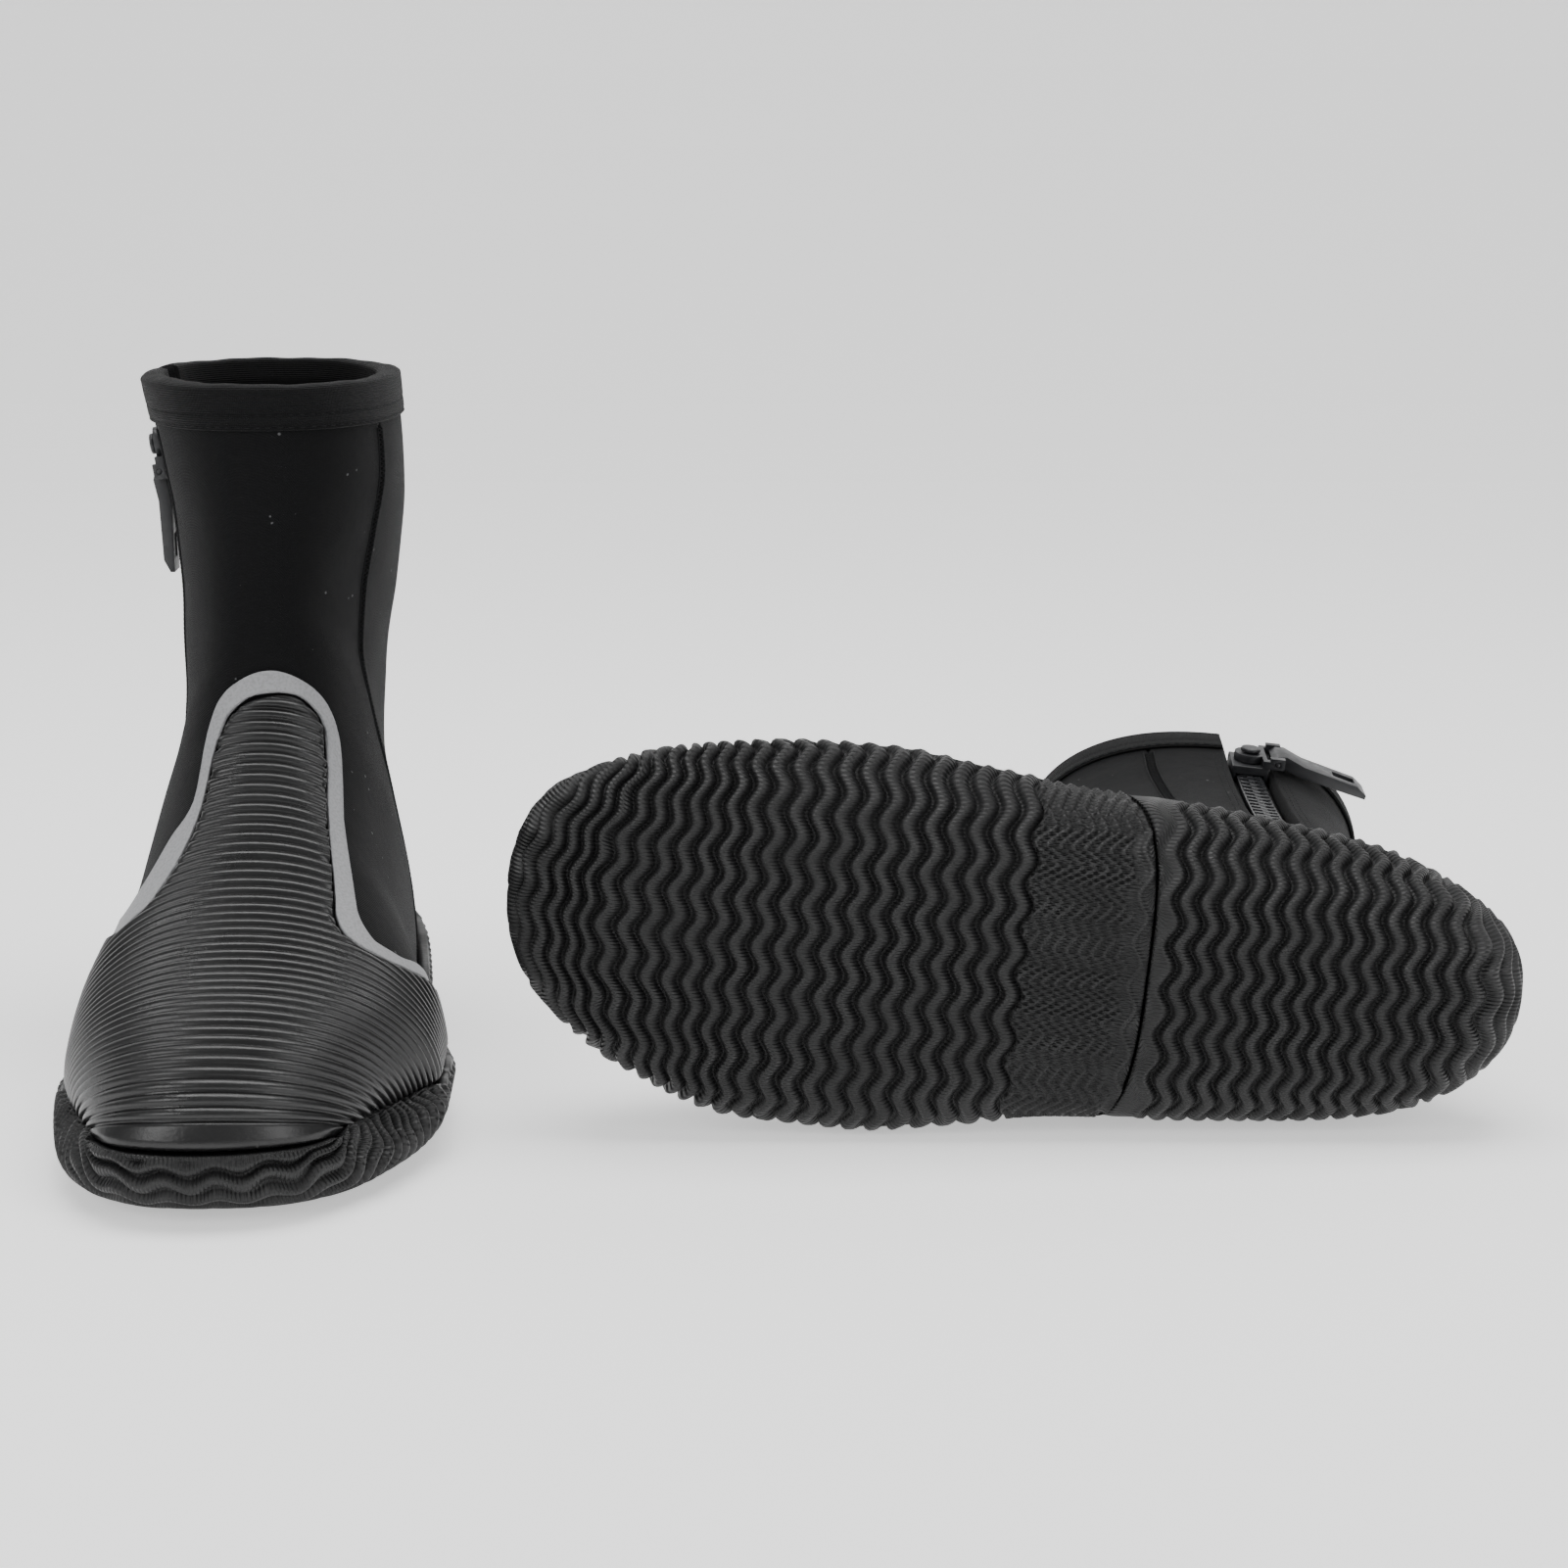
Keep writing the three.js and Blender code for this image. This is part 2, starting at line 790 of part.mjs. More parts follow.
// The binding is folded over the rim from one side of the zip round to the other.
function collarBinding() {
  const start = zipAngle(collarStation, zipSlotWidth / 2 + bindingZipInset) - 360;
  const end = zipAngle(collarStation, -zipSlotWidth / 2 - bindingZipInset);
  const turns = [start, ...[...gridAngles.map((a) => a - 360), ...gridAngles], end];
  const angles = turns.filter((a) => a >= start && a <= end).sort((a, b) => a - b);
  const near = layerGap;
  const far = layerGap + bindingThickness;
  const rings = angles.map((angle) => {
    const heightAt = (s) => layerPoint(s, angle, 0).z;
    const down = (length) => stationWhere(heightAt, shaftHeight - length, 232, collarStation);
    const rim = (depth, rise) => layerPoint(collarStation, angle, depth).add(new THREE.Vector3(0, 0, rise));
    return [
      layerPoint(down(bindingHeight), angle, far),
      rim(far, far),
      rim(-neopreneThickness - far, far),
      layerPoint(down(bindingLining), angle, -neopreneThickness - far),
      layerPoint(down(bindingLining), angle, -neopreneThickness - near),
      rim(-neopreneThickness - near, near),
      rim(near, near),
      layerPoint(down(bindingHeight), angle, near),
    ];
  });
  const { points, triangles } = ringSolid(rings);
  const capQuads = [[0, 1, 6, 7], [1, 2, 5, 6], [2, 3, 4, 5]];
  const last = (rings.length - 1) * 8;
  for (const [a, b, c, d] of capQuads) {
    triangles.push([a, c, b], [a, d, c]);
    triangles.push([last + a, last + b, last + c], [last + a, last + c, last + d]);
  }
  return closedGeometry(points, triangles);
}

// ---------------------------------------------------------------- zip

// Strip of the shell beside or behind the zip, between two distances from its middle.
function zipStrip({ low, high, bottom, top, inner, outer }) {
  return shellPatch({
    from: zipStation(bottom),
    to: zipStation(top),
    start: 240,
    end: 300,
    inner,
    outer,
    hold: clampAngle((s) => zipAngle(s, low), (s) => zipAngle(s, high)),
  });
}

const tapeOuter = -neopreneThickness - liningGap;
const tapeInner = tapeOuter - tapeThickness;
const gussetOuter = tapeInner - liningGap;
const tapeEnds = { bottom: zipBottom - stopLength, top: zipTop };

const zipTape = (low, high) =>
  zipStrip({ low, high, ...tapeEnds, inner: tapeInner, outer: tapeOuter });

const zipGusset = () =>
  zipStrip({
    low: -gussetWidth / 2,
    high: gussetWidth / 2,
    ...tapeEnds,
    inner: gussetOuter - gussetThickness,
    outer: gussetOuter,
  });

// Frame of the zip at a height: U up along the arc, V towards the toe, W out of the boot. Its
// origin lies on the neoprene's outer face.
function zipFrame(height) {
  const lean = Math.asin((upward(height) - zipCentre.z) / zipRadius);
  const inward = new THREE.Vector3(Math.cos(lean), 0, Math.sin(lean));
  const up = new THREE.Vector3(-Math.sin(lean), 0, Math.cos(lean));
  const frame = new THREE.Matrix4().makeBasis(up, new THREE.Vector3(0, 1, 0), inward.clone().negate());
  return frame.setPosition(zipCentre.clone().addScaledVector(inward, zipRadius));
}

const toothFloor = tapeOuter + toothGap;
const toothTop = toothFloor + toothHeight;
const toothThickness = toothPitch / 2 - toothGap;
const halfChain = toothLength - toothReach;

// One side's teeth, each a block moulded on the tape's corded edge and reaching past the middle
// between two teeth of the other side. Side is +1 for the front row and -1 for the rear row. The
// cord is a strip whose long outline follows the arc, carried across its width.
function zipTeeth(side) {
  const half = toothThickness / 2;
  const tip = -side * toothReach;
  const seat = side * (halfChain - cordWidth / 2);
  const heightOf = (i) => zipBottom + stopLength + (i + 0.5 + side / 4) * toothPitch;
  const low = [-half, Math.min(tip, seat), toothFloor];
  const high = [half, Math.max(tip, seat), toothTop];
  const order = Array.from({ length: toothCount }, (_, i) => i);
  const teeth = order.map((i) => boxBetween(low, high).applyMatrix4(zipFrame(heightOf(i))));
  const onArc = (i, out) => {
    const point = new THREE.Vector3(0, 0, out).applyMatrix4(zipFrame(heightOf(i)));
    return new THREE.Vector2(point.x, point.z);
  };
  const inner = order.map((i) => onArc(i, toothFloor + cordDrop));
  const outer = order.map((i) => onArc(i, toothTop - cordDrop)).reverse();
  const cord = new THREE.ExtrudeGeometry(new THREE.Shape([...inner, ...outer]), {
    depth: cordWidth,
    bevelEnabled: false,
  });
  cord.rotateX(Math.PI / 2);
  cord.translate(0, zipCentre.y + (side > 0 ? halfChain : cordWidth - halfChain), 0);
  return unite(joined(cord), ...teeth);
}

function zipStop(height, low, high) {
  const half = stopLength / 2;
  const block = boxBetween([-half, low, toothFloor], [half, high, toothTop + stopRise]);
  return block.applyMatrix4(zipFrame(height));
}

const bottomStop = () => zipStop(zipBottom + stopLength / 2 - toothGap, -halfChain, halfChain);
const topStopHeight = zipTop - stopLength / 2;

function topStop(side) {
  const ends = [side * halfChain, side * toothGap];
  return zipStop(topStopHeight, Math.min(...ends), Math.max(...ends));
}

// ---------------------------------------------------------------- slider and pull

const sliderFloor = toothTop + sliderGap;
const sliderTop = sliderFloor + sliderThickness;
const sliderHeight = zipTop - stopLength - toothGap - sliderLength / 2;
const ringFloor = sliderTop + swivelGap;
const ringTop = ringFloor + ringThickness;
const capFloor = ringTop + swivelGap;

const uprightCylinder = (radius, low, high, sides) =>
  new THREE.CylinderGeometry(radius, radius, high - low, sides)
    .rotateX(Math.PI / 2)
    .translate(0, 0, (low + high) / 2);

const crossCylinder = (radius, low, high, sides) =>
  new THREE.CylinderGeometry(radius, radius, high - low, sides).translate(0, (low + high) / 2, 0);

// The slider straddles both rows of teeth, and its post and cap carry the swivelling crown.
function zipSlider() {
  const half = sliderLength / 2;
  const inside = halfChain + sliderGap;
  const outside = inside + sliderWall;
  return unite(
    boxBetween([-half, -outside, sliderFloor], [half, outside, sliderTop]),
    boxBetween([-half, inside, toothFloor], [half, outside, sliderTop - joinDepth]),
    boxBetween([-half, -outside, toothFloor], [half, -inside, sliderTop - joinDepth]),
    uprightCylinder(postRadius, sliderTop - joinDepth, capFloor + joinDepth, roundSides),
    uprightCylinder(capRadius, capFloor, capFloor + capHeight, roundSides),
  );
}

const crownAxis = new THREE.Vector3(-crownReach, 0, ringFloor + crownHeight / 2);

// Crown: a ring round the post and two ears that hold the tab's pin.
function pullCrown() {
  const half = crownWidth / 2;
  const reachLow = -crownReach - crownDepth / 2;
  const reachHigh = -crownReach + crownDepth / 2;
  const knuckle = half - earThickness + swivelGap;
  const bodies = unite(
    uprightCylinder(ringRadius, ringFloor, ringTop, roundSides),
    boxBetween([-crownReach + 2 * joinDepth, -half, ringFloor], [-postRadius - bridgeInset, half, ringTop]),
    boxBetween([reachLow, half - earThickness, ringFloor], [reachHigh, half, ringFloor + crownHeight]),
    boxBetween([reachLow, -half, ringFloor], [reachHigh, earThickness - half, ringFloor + crownHeight]),
  );
  const pinHole = crossCylinder(pinRadius + pinClearance, -half - 1, half + 1, pinSides);
  return cut(
    bodies,
    uprightCylinder(postRadius + swivelGap, ringFloor - 1, ringTop + 1, roundSides),
    pinHole.translate(crownAxis.x, 0, crownAxis.z),
    boxBetween([reachLow - 1, -knuckle, ringFloor - 1], [reachHigh + 0.8, knuckle, ringTop + 4]),
  );
}

function pullPin() {
  const half = crownWidth / 2;
  return crossCylinder(pinRadius, -half, half, pinSides).translate(crownAxis.x, 0, crownAxis.z);
}

// Tab: a side outline with a stepped neck, carried across the tab's width, with a window near
// its free end. It is drawn about the pin and hangs along -U.
function pullTab() {
  const half = tabThickness / 2;
  const knuckleRadius = crownHeight / 2 - knuckleEase;
  const tip = -tabLength + crownReach;
  const outline = new THREE.Shape();
  outline.moveTo(0, knuckleRadius);
  outline.lineTo(-tabNeck * shoulderShare, half + tabShoulder);
  outline.lineTo(-tabNeck, half - tabStep + tabNeckRise);
  outline.lineTo(tip + tabEndBevel * 2, half - tabStep + tabTopRise);
  outline.lineTo(tip, half - tabStep + tabTopRise - tabEndBevel);
  outline.lineTo(tip, -half - tabStep + tabBackRise);
  outline.lineTo(-tabNeck, -half - tabStep + tabBackRise);
  outline.lineTo(-tabNeck * shoulderShare, 2 * knuckleEase - knuckleRadius);
  outline.lineTo(0, -knuckleRadius);
  outline.lineTo(knuckleRadius * 0.85, 0);
  const blade = new THREE.ExtrudeGeometry(outline, { depth: tabWidth, bevelEnabled: false });
  blade.translate(0, 0, -tabWidth / 2).rotateX(Math.PI / 2);
  const windowEnd = tip + tabWindowMargin;
  const halfWindow = tabWindowWidth / 2;
  const opening = boxBetween(
    [windowEnd, -halfWindow, -tabStep - tabThickness],
    [windowEnd + tabWindowLength, halfWindow, tabThickness],
  );
  return cut(blade, crossCylinder(pinRadius + pinClearance, -tabWidth, tabWidth, pinSides), opening);
}

// ---------------------------------------------------------------- assembly

function finish(colour, roughness) {
  return new THREE.MeshStandardMaterial({ color: colour, roughness, metalness: 0 });
}

function named(name, geometry, colour, roughness) {
  const mesh = new THREE.Mesh(geometry, finish(colour, roughness));
  mesh.name = name;
  return mesh;
}

function boot(side, pull) {
  const group = new THREE.Group();
  const add = (name, geometry, colour, roughness) =>
    group.add(named(`${side}_${name}`, geometry, colour, roughness));
  add("front_panel", frontPanel(), colours.neoprene, 0.9);
  add("medial_panel", medialPanel(), colours.neoprene, 0.9);
  add("rear_panel", rearPanel(), colours.neoprene, 0.9);
  add("sole_sock", soleSock(), colours.lining, 0.9);
  add("collar_binding", collarBinding(), colours.binding, 0.8);
  add("toe_overlay", toeOverlay(), colours.rubber, 0.45);
  add("instep_trim", instepTrim(), colours.trim, 0.55);
  add("outsole_front", outsole(soleStart, solePartStation - seamGap), colours.outsole, 0.6);
  add("outsole_heel", outsole(solePartStation, heelCupStation - seamGap), colours.outsole, 0.6);
  add("footbed", footbed(), colours.footbed, 0.85);
  add("zip_gusset", zipGusset(), colours.lining, 0.9);
  add("zip_tape_front", zipTape(layerGap, tapeWidth), colours.tape, 0.8);
  add("zip_tape_rear", zipTape(-tapeWidth, -layerGap), colours.tape, 0.8);
  add("zip_teeth_front", zipTeeth(1), colours.plastic, 0.35);
  add("zip_teeth_rear", zipTeeth(-1), colours.plastic, 0.35);
  add("zip_bottom_stop", bottomStop(), colours.plastic, 0.35);
  add("zip_top_stop_front", topStop(1), colours.plastic, 0.35);
  add("zip_top_stop_rear", topStop(-1), colours.plastic, 0.35);

  const carriage = new THREE.Group();
  carriage.applyMatrix4(zipFrame(sliderHeight));
  carriage.add(named(`${side}_zip_slider`, zipSlider(), colours.plastic, 0.35));
  const swivel = new THREE.Group();
  swivel.rotation.z = pull.swivel;
  swivel.add(named(`${side}_pull_crown`, pullCrown(), colours.plastic, 0.35));
  swivel.add(named(`${side}_pull_pin`, pullPin(), colours.plastic, 0.35));
  const hinge = new THREE.Group();
  hinge.position.copy(crownAxis);
  hinge.rotation.y = pull.lift;
  hinge.add(named(`${side}_pull_tab`, pullTab(), colours.plastic, 0.4));
  swivel.add(hinge);
  carriage.add(swivel);
  group.add(carriage);
  return group;
}

// The standing boot: the mirrored pattern, toe towards -Y.
function standingBoot() {
  const group = new THREE.Group();
  const mirrored = boot("left", standingPull);
  mirrored.scale.set(1, -1, 1);
  mirrored.position.y = footLength / 2;
  group.add(mirrored);
  group.rotation.z = standingTurn;
  group.position.y = footLength / 2;
  return group;
}

// The lying boot: toe towards -X, the shaft away from the front and the zip side up.
function lyingBoot() {
  const group = new THREE.Group();
  const turned = boot("right", lyingPull);
  const laid = new THREE.Matrix4().makeBasis(
    new THREE.Vector3(0, 0, -1),
    new THREE.Vector3(-1, 0, 0),
    new THREE.Vector3(0, 1, 0),
  );
  laid.setPosition(footLength / 2, 0, 0);
  turned.applyMatrix4(laid);
  group.add(turned);
  group.rotation.set(lyingRoll, lyingTilt, lyingTurn, "ZYX");
  const low = new THREE.Box3().setFromObject(group, true).min.z;
  group.position.set(lyingAcross, lyingBehind, -low);
  return group;
}

const pair = new THREE.Group();
pair.add(standingBoot(), lyingBoot());

// The origin lies on the ground, below the middle of the pair.
const bounds = new THREE.Box3().setFromObject(pair, true);
const centre = bounds.getCenter(new THREE.Vector3());
pair.position.set(-centre.x, -centre.y, -bounds.min.z);

export default pair;
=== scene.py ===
"""Looks for a pair of zipped neoprene boots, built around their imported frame.

A boot is drawn in its pattern frame, in millimetres: +X is the outer side, +Y runs from the heel
to the toe and +Z is up, for a right foot. The left boot is the mirror image. Its shell is one
surface of two parameters: the station runs from 0 at the toe to 282 at the shaft's rim, and the
angle runs round the girth, with 0 on the top line, 90 on the outer edge, 180 on the sole's middle
and the heel's back and 270 on the inner edge. Each layer lies at its own depth along the normal.
"""

import json
import math

import bmesh
import bpy
import numpy as np
from mathutils import Matrix, Vector

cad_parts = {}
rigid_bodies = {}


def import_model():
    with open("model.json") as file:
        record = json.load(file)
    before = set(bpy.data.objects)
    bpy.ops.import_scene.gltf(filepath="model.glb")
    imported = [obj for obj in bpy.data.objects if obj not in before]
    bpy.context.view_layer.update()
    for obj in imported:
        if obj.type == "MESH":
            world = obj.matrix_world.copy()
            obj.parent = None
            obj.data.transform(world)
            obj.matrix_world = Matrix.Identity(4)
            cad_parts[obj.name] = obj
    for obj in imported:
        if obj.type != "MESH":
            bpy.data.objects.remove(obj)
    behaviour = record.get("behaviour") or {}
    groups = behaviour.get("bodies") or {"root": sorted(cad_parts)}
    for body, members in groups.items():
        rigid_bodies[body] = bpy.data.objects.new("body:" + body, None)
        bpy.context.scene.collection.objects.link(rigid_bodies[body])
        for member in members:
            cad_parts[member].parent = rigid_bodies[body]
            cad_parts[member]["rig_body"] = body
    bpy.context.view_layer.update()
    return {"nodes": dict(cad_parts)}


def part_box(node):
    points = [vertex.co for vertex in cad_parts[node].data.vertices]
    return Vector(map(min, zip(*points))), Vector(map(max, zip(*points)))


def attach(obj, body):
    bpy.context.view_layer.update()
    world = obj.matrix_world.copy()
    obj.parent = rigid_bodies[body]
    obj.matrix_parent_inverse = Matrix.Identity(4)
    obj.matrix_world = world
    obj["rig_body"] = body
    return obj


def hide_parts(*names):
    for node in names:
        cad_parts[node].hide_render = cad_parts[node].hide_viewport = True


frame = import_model()

bl_info = {
    "name": "Neoprene boots",
    "version": (1, 0, 0),
    "blender": (4, 5, 0),
    "location": "View3D > Sidebar > Boots",
    "description": "Builds the shells, soles, zips and finishes of a pair of neoprene boots",
    "category": "Object",
}

MM = 0.001
SIDES = ("left", "right")


# ---------------------------------------------------------------- the boot's surface

COLLAR = 282.0
SHANK = 150.0

TOP_LINE = [
    (0, 296, 21), (12, 291.5, 32), (25, 281.5, 41), (45, 262.5, 49.5), (75, 232.5, 58.5),
    (105, 204, 69.5), (130, 182, 82), (150, 166, 94), (168, 152, 106), (184, 142.5, 118.5),
    (208, 136, 142), (232, 133.5, 166), (282, 133, 215.6),
]
EDGE_LINE = [
    (0, 278, 20.5), (12, 261, 19), (25, 247, 18.5), (45, 233.5, 18), (75, 215, 18),
    (105, 189, 18), (130, 162, 19), (150, 136, 21), (168, 108, 27), (184, 84, 41),
    (196, 72, 51), (208, 66, 71.5), (220, 63.5, 100), (232, 64, 125), (246, 66, 152),
    (262, 68, 180), (282, 68, 215.6),
]
BOTTOM_LINE = [
    (0, 296, 21), (12, 294.7, 14), (25, 288.3, 8.5), (45, 273.5, 6), (75, 244, 5.3),
    (105, 203, 5.3), (130, 165, 5.3), (150, 127, 5.3), (168, 88, 5.3), (184, 45, 5.3),
    (196, 14, 8), (208, 1, 28), (220, 13, 58), (232, 22, 95), (246, 27, 130),
    (262, 24, 168), (282, 18, 215.6),
]
MEDIAL_WIDTH = [
    (0, 31), (12, 36), (25, 41), (45, 45.5), (75, 49.5), (105, 51), (130, 48), (150, 45),
    (168, 43.5), (184, 40.5), (196, 37),
]
LATERAL_WIDTH = [
    (0, 30), (12, 36), (25, 41.5), (45, 48), (75, 55.5), (105, 55.5), (130, 51), (150, 45.5),
    (168, 43.5), (184, 41.5), (196, 38.5), (208, 34.7), (220, 31.3), (232, 32.7), (246, 37),
    (262, 40.5), (282, 38),
]
MIDDLE_SHIFT = [(0, -3), (25, -2), (75, 0), (282, 0)]
RIM_HEIGHT = EDGE_LINE[-1][2]
UPPER_FULLNESS = [(0, 2), (45, 2.2), (184, 2.2), (232, 2.3), (282, 2.3)]
LOWER_FULLNESS = [(0, 2), (25, 2.7), (45, 3.2), (184, 3.2), (208, 2.4), (282, 2.2)]

ZIP_FORWARD = 62.0
ZIP_WAIST = 31.2
ZIP_WAIST_HEIGHT = 112.0
ZIP_RADIUS = 520.0


def curve(rows, column=1):
    """Monotone cubic through points (Fritsch and Carlson): each slope is the weighted harmonic
    mean of the secants beside it, or 0 where they turn, and each span is a Hermite cubic."""
    xs = np.array([row[0] for row in rows], float)
    ys = np.array([row[column] for row in rows], float)
    steps = np.diff(xs)
    secants = np.diff(ys) / steps
    slopes = np.empty_like(xs)
    slopes[0], slopes[-1] = secants[0], secants[-1]
    before = 2 * steps[1:] + steps[:-1]
    after = steps[1:] + 2 * steps[:-1]
    turning = secants[:-1] * secants[1:] <= 0
    left = np.where(turning, 1, secants[:-1])
    right = np.where(turning, 1, secants[1:])
    slopes[1:-1] = np.where(turning, 0, (before + after) / (before / left + after / right))

    def value(x):
        x = np.asarray(x, float)
        i = np.clip(np.searchsorted(xs, x, "right") - 1, 0, len(steps) - 1)
        t = (x - xs[i]) / steps[i]
        rise = t * t * (3 - 2 * t)
        bend = t * (1 - t) ** 2 * slopes[i] + t * t * (t - 1) * slopes[i + 1]
        return ys[i] + (ys[i + 1] - ys[i]) * rise + steps[i] * bend

    return value


def waist_at(height):
    """Half width at the zip: the arc of ZIP_RADIUS whose middle is at ZIP_WAIST_HEIGHT."""
    drop = np.asarray(height, float) - ZIP_WAIST_HEIGHT
    return ZIP_WAIST + ZIP_RADIUS - np.sqrt(ZIP_RADIUS**2 - drop**2)


top_y, top_z = curve(TOP_LINE), curve(TOP_LINE, 2)
edge_y, edge_z = curve(EDGE_LINE), curve(EDGE_LINE, 2)
bottom_y, bottom_z = curve(BOTTOM_LINE), curve(BOTTOM_LINE, 2)
ANKLE_ROWS = [(s, float(waist_at(z))) for s, _, z in EDGE_LINE if s > MEDIAL_WIDTH[-1][0]]
medial_width = curve(MEDIAL_WIDTH + ANKLE_ROWS)
lateral_width = curve(LATERAL_WIDTH)
middle_shift = curve(MIDDLE_SHIFT)
upper_fullness = curve(UPPER_FULLNESS)
lower_fullness = curve(LOWER_FULLNESS)


def surface_point(station, angle):
    """Superellipse that leans with its station: the rise is |cos|^(2/n) towards the top or the
    bottom line and the spread is |sin|^(2/n) of the half width, where n is the fullness."""
    s, a = np.broadcast_arrays(np.asarray(station, float), np.radians(angle))
    cosine, sine = np.cos(a), np.sin(a)
    above = cosine >= 0
    power = 2 / np.where(above, upper_fullness(s), lower_fullness(s))
    rise = np.abs(cosine) ** power
    spread = np.abs(sine) ** power
    end_y = np.where(above, top_y(s), bottom_y(s))
    end_z = np.where(above, top_z(s), bottom_z(s))
    width = np.where(sine >= 0, lateral_width(s), -medial_width(s))
    x = middle_shift(s) * rise + width * spread
    y = edge_y(s) + (end_y - edge_y(s)) * rise
    z = edge_z(s) + (end_z - edge_z(s)) * rise
    return np.stack([x, y, z], -1)


def unit(vectors):
    return vectors / np.maximum(np.linalg.norm(vectors, axis=-1, keepdims=True), 1e-9)


def slope_normal(station, angle):
    """Cross product of the small steps along the station and round the girth."""
    s = np.clip(station, 0.6, COLLAR - 0.2)
    along = surface_point(s + 0.1, angle) - surface_point(s - 0.1, angle)
    around = surface_point(s, angle + 0.4) - surface_point(s, angle - 0.4)
    return unit(np.cross(along, around))


def surface_normal(station, angle):
    """Outward normal. Towards station 0 it turns into the mean of the upper and lower halves'."""
    share = np.clip(1 - np.asarray(station, float) / 5, 0, 1)[..., None]
    return unit(slope_normal(station, angle) + share * slope_normal(station, 180 - angle))


def layer_point(station, angle, depth):
    depth = np.asarray(depth, float)[..., None]
    return surface_point(station, angle) + depth * surface_normal(station, angle)


def where_rising(function, value, low, high, shape=()):
    """Argument at which a rising function reaches a value, by halving the range 40 times."""
    low = np.full(shape, float(low))
    high = np.full(shape, float(high))
    for _ in range(40):
        middle = (low + high) / 2
        below = function(middle) < value
        low = np.where(below, middle, low)
        high = np.where(below, high, middle)
    return (low + high) / 2


def smooth_step(value):
    t = np.clip(value, 0, 1)
    return t * t * (3 - 2 * t)


# ---------------------------------------------------------------- lines on the surface

HEEL_CUP_HEIGHT = 31.0
HEEL_CUP = float(where_rising(bottom_z, HEEL_CUP_HEIGHT, 196, 220))
feather_height = curve([
    (SHANK, float(edge_z(SHANK))), (168, 23.5), (184, 26.5), (HEEL_CUP, HEEL_CUP_HEIGHT),
])


def feather_angle(station):
    """Angle of the line where the outsole's wall ends: 90 in the forefoot, then the angle at
    which the girth passes the feather height, and 180 at the heel cup's top."""
    s = np.asarray(station, float)
    held = np.clip(s, SHANK, HEEL_CUP)
    reach = (edge_z(held) - feather_height(held)) / (edge_z(held) - bottom_z(held))
    lower = np.clip(reach, 0, 1) ** (lower_fullness(held) / 2)
    angle = 180 - np.degrees(np.arccos(lower))
    return np.where(s <= SHANK, 90, np.where(s >= HEEL_CUP, 180, angle))


FEATHER_TABLE = np.linspace(SHANK, HEEL_CUP, 400)
FEATHER_ANGLES = feather_angle(FEATHER_TABLE)


def feather_station(angle):
    return np.interp(angle, FEATHER_ANGLES, FEATHER_TABLE)


def seam_angle(shaft_angle, foot):
    """Seam line: straight down the shaft, then back to the feather line at its foot."""
    low = float(feather_angle(foot))
    line = curve([
        (foot, low), (196, (shaft_angle + low) / 2), (222, shaft_angle), (COLLAR, shaft_angle),
    ])
    return lambda s: np.where(s <= foot, feather_angle(s), line(np.maximum(s, foot)))


LATERAL_FOOT = 177.0
MEDIAL_FOOT = 172.0
lateral_seam = seam_angle(60, LATERAL_FOOT)
medial_seam = seam_angle(68, MEDIAL_FOOT)

NEOPRENE = 5.0
ZIP_TOP = 204.0
ZIP_BOTTOM = 70.0
SLOT_WIDTH = 14.5
SLOT_POINT = 12.0
SEAM_GAP = 0.35
STOP_LENGTH = 3.0


def slot_half(station):
    """Half of the zip's slot, which closes to a seam below the zip."""
    share = np.clip((edge_z(station) - ZIP_BOTTOM + STOP_LENGTH + SLOT_POINT) / SLOT_POINT, 0, 1)
    return SEAM_GAP / 2 + (SLOT_WIDTH - SEAM_GAP) / 2 * share


def zip_angle(station, offset):
    """Angle on the inner side at which the middle of the shell passes a distance from the zip."""
    s = np.asarray(station, float)

    def forward(angle):
        return layer_point(s, angle, -NEOPRENE / 2)[..., 1]

    return where_rising(forward, ZIP_FORWARD + offset, 180, 359.9, s.shape)


def zip_station(height):
    """Station whose edge line is at a height, above the foot."""
    return float(where_rising(edge_z, height, 196, COLLAR))


ZIP_FOOT = float(where_rising(lambda s: feather_angle(s) - (360 - zip_angle(s, 0)), 0, 180, 200))

OVERLAY_EDGE = curve([
    (-90, 145), (-72, 141), (-58, 126), (-44, 114), (-35, 114.5), (-28, 123), (-19, 148),
    (-16, 172), (-12, 182), (0, 187.5), (12, 188.5), (20, 186), (24, 180), (26, 106),
    (32, 96), (38, 94.5), (45, 95.5), (55, 101), (73, 117), (90, 122),
])
TRIM_EDGE = curve([
    (-90, 152), (-72, 148), (-61, 138), (-48, 127), (-40, 132), (-31, 144), (-22, 155),
    (-20.5, 178), (-17, 188), (-10, 192), (4, 195), (17, 193.5), (24, 191), (28, 186),
    (30, 178), (33, 112), (36, 105.5), (41, 101.5), (50, 103.5), (60, 112), (72, 122),
    (90, 128),
])


# ---------------------------------------------------------------- mesh work

FINE_STEPS = 4000
BORDER_BLOCK = 8192
WELD = 1e-4


def path_length(points):
    """Distance of each point from the first, along the line of points."""
    steps = np.linalg.norm(np.diff(points, axis=0), axis=1)
    return np.concatenate([[0], np.cumsum(steps)])


def evenly(values, points, count):
    """Values at equal distances along the line of their points."""
    length = path_length(points)
    return np.interp(np.linspace(0, length[-1], count), length, values)


def even_angles(start, end, count, station):
    """Angles at equal distances along the girth of one station."""
    fine = np.linspace(start, end, FINE_STEPS)
    return evenly(fine, surface_point(station, fine), count)


def even_stations(start, end, count, angle):
    """Stations at equal distances along the line of one angle."""
    fine = np.linspace(start, end, FINE_STEPS)
    return evenly(fine, surface_point(fine, angle), count)


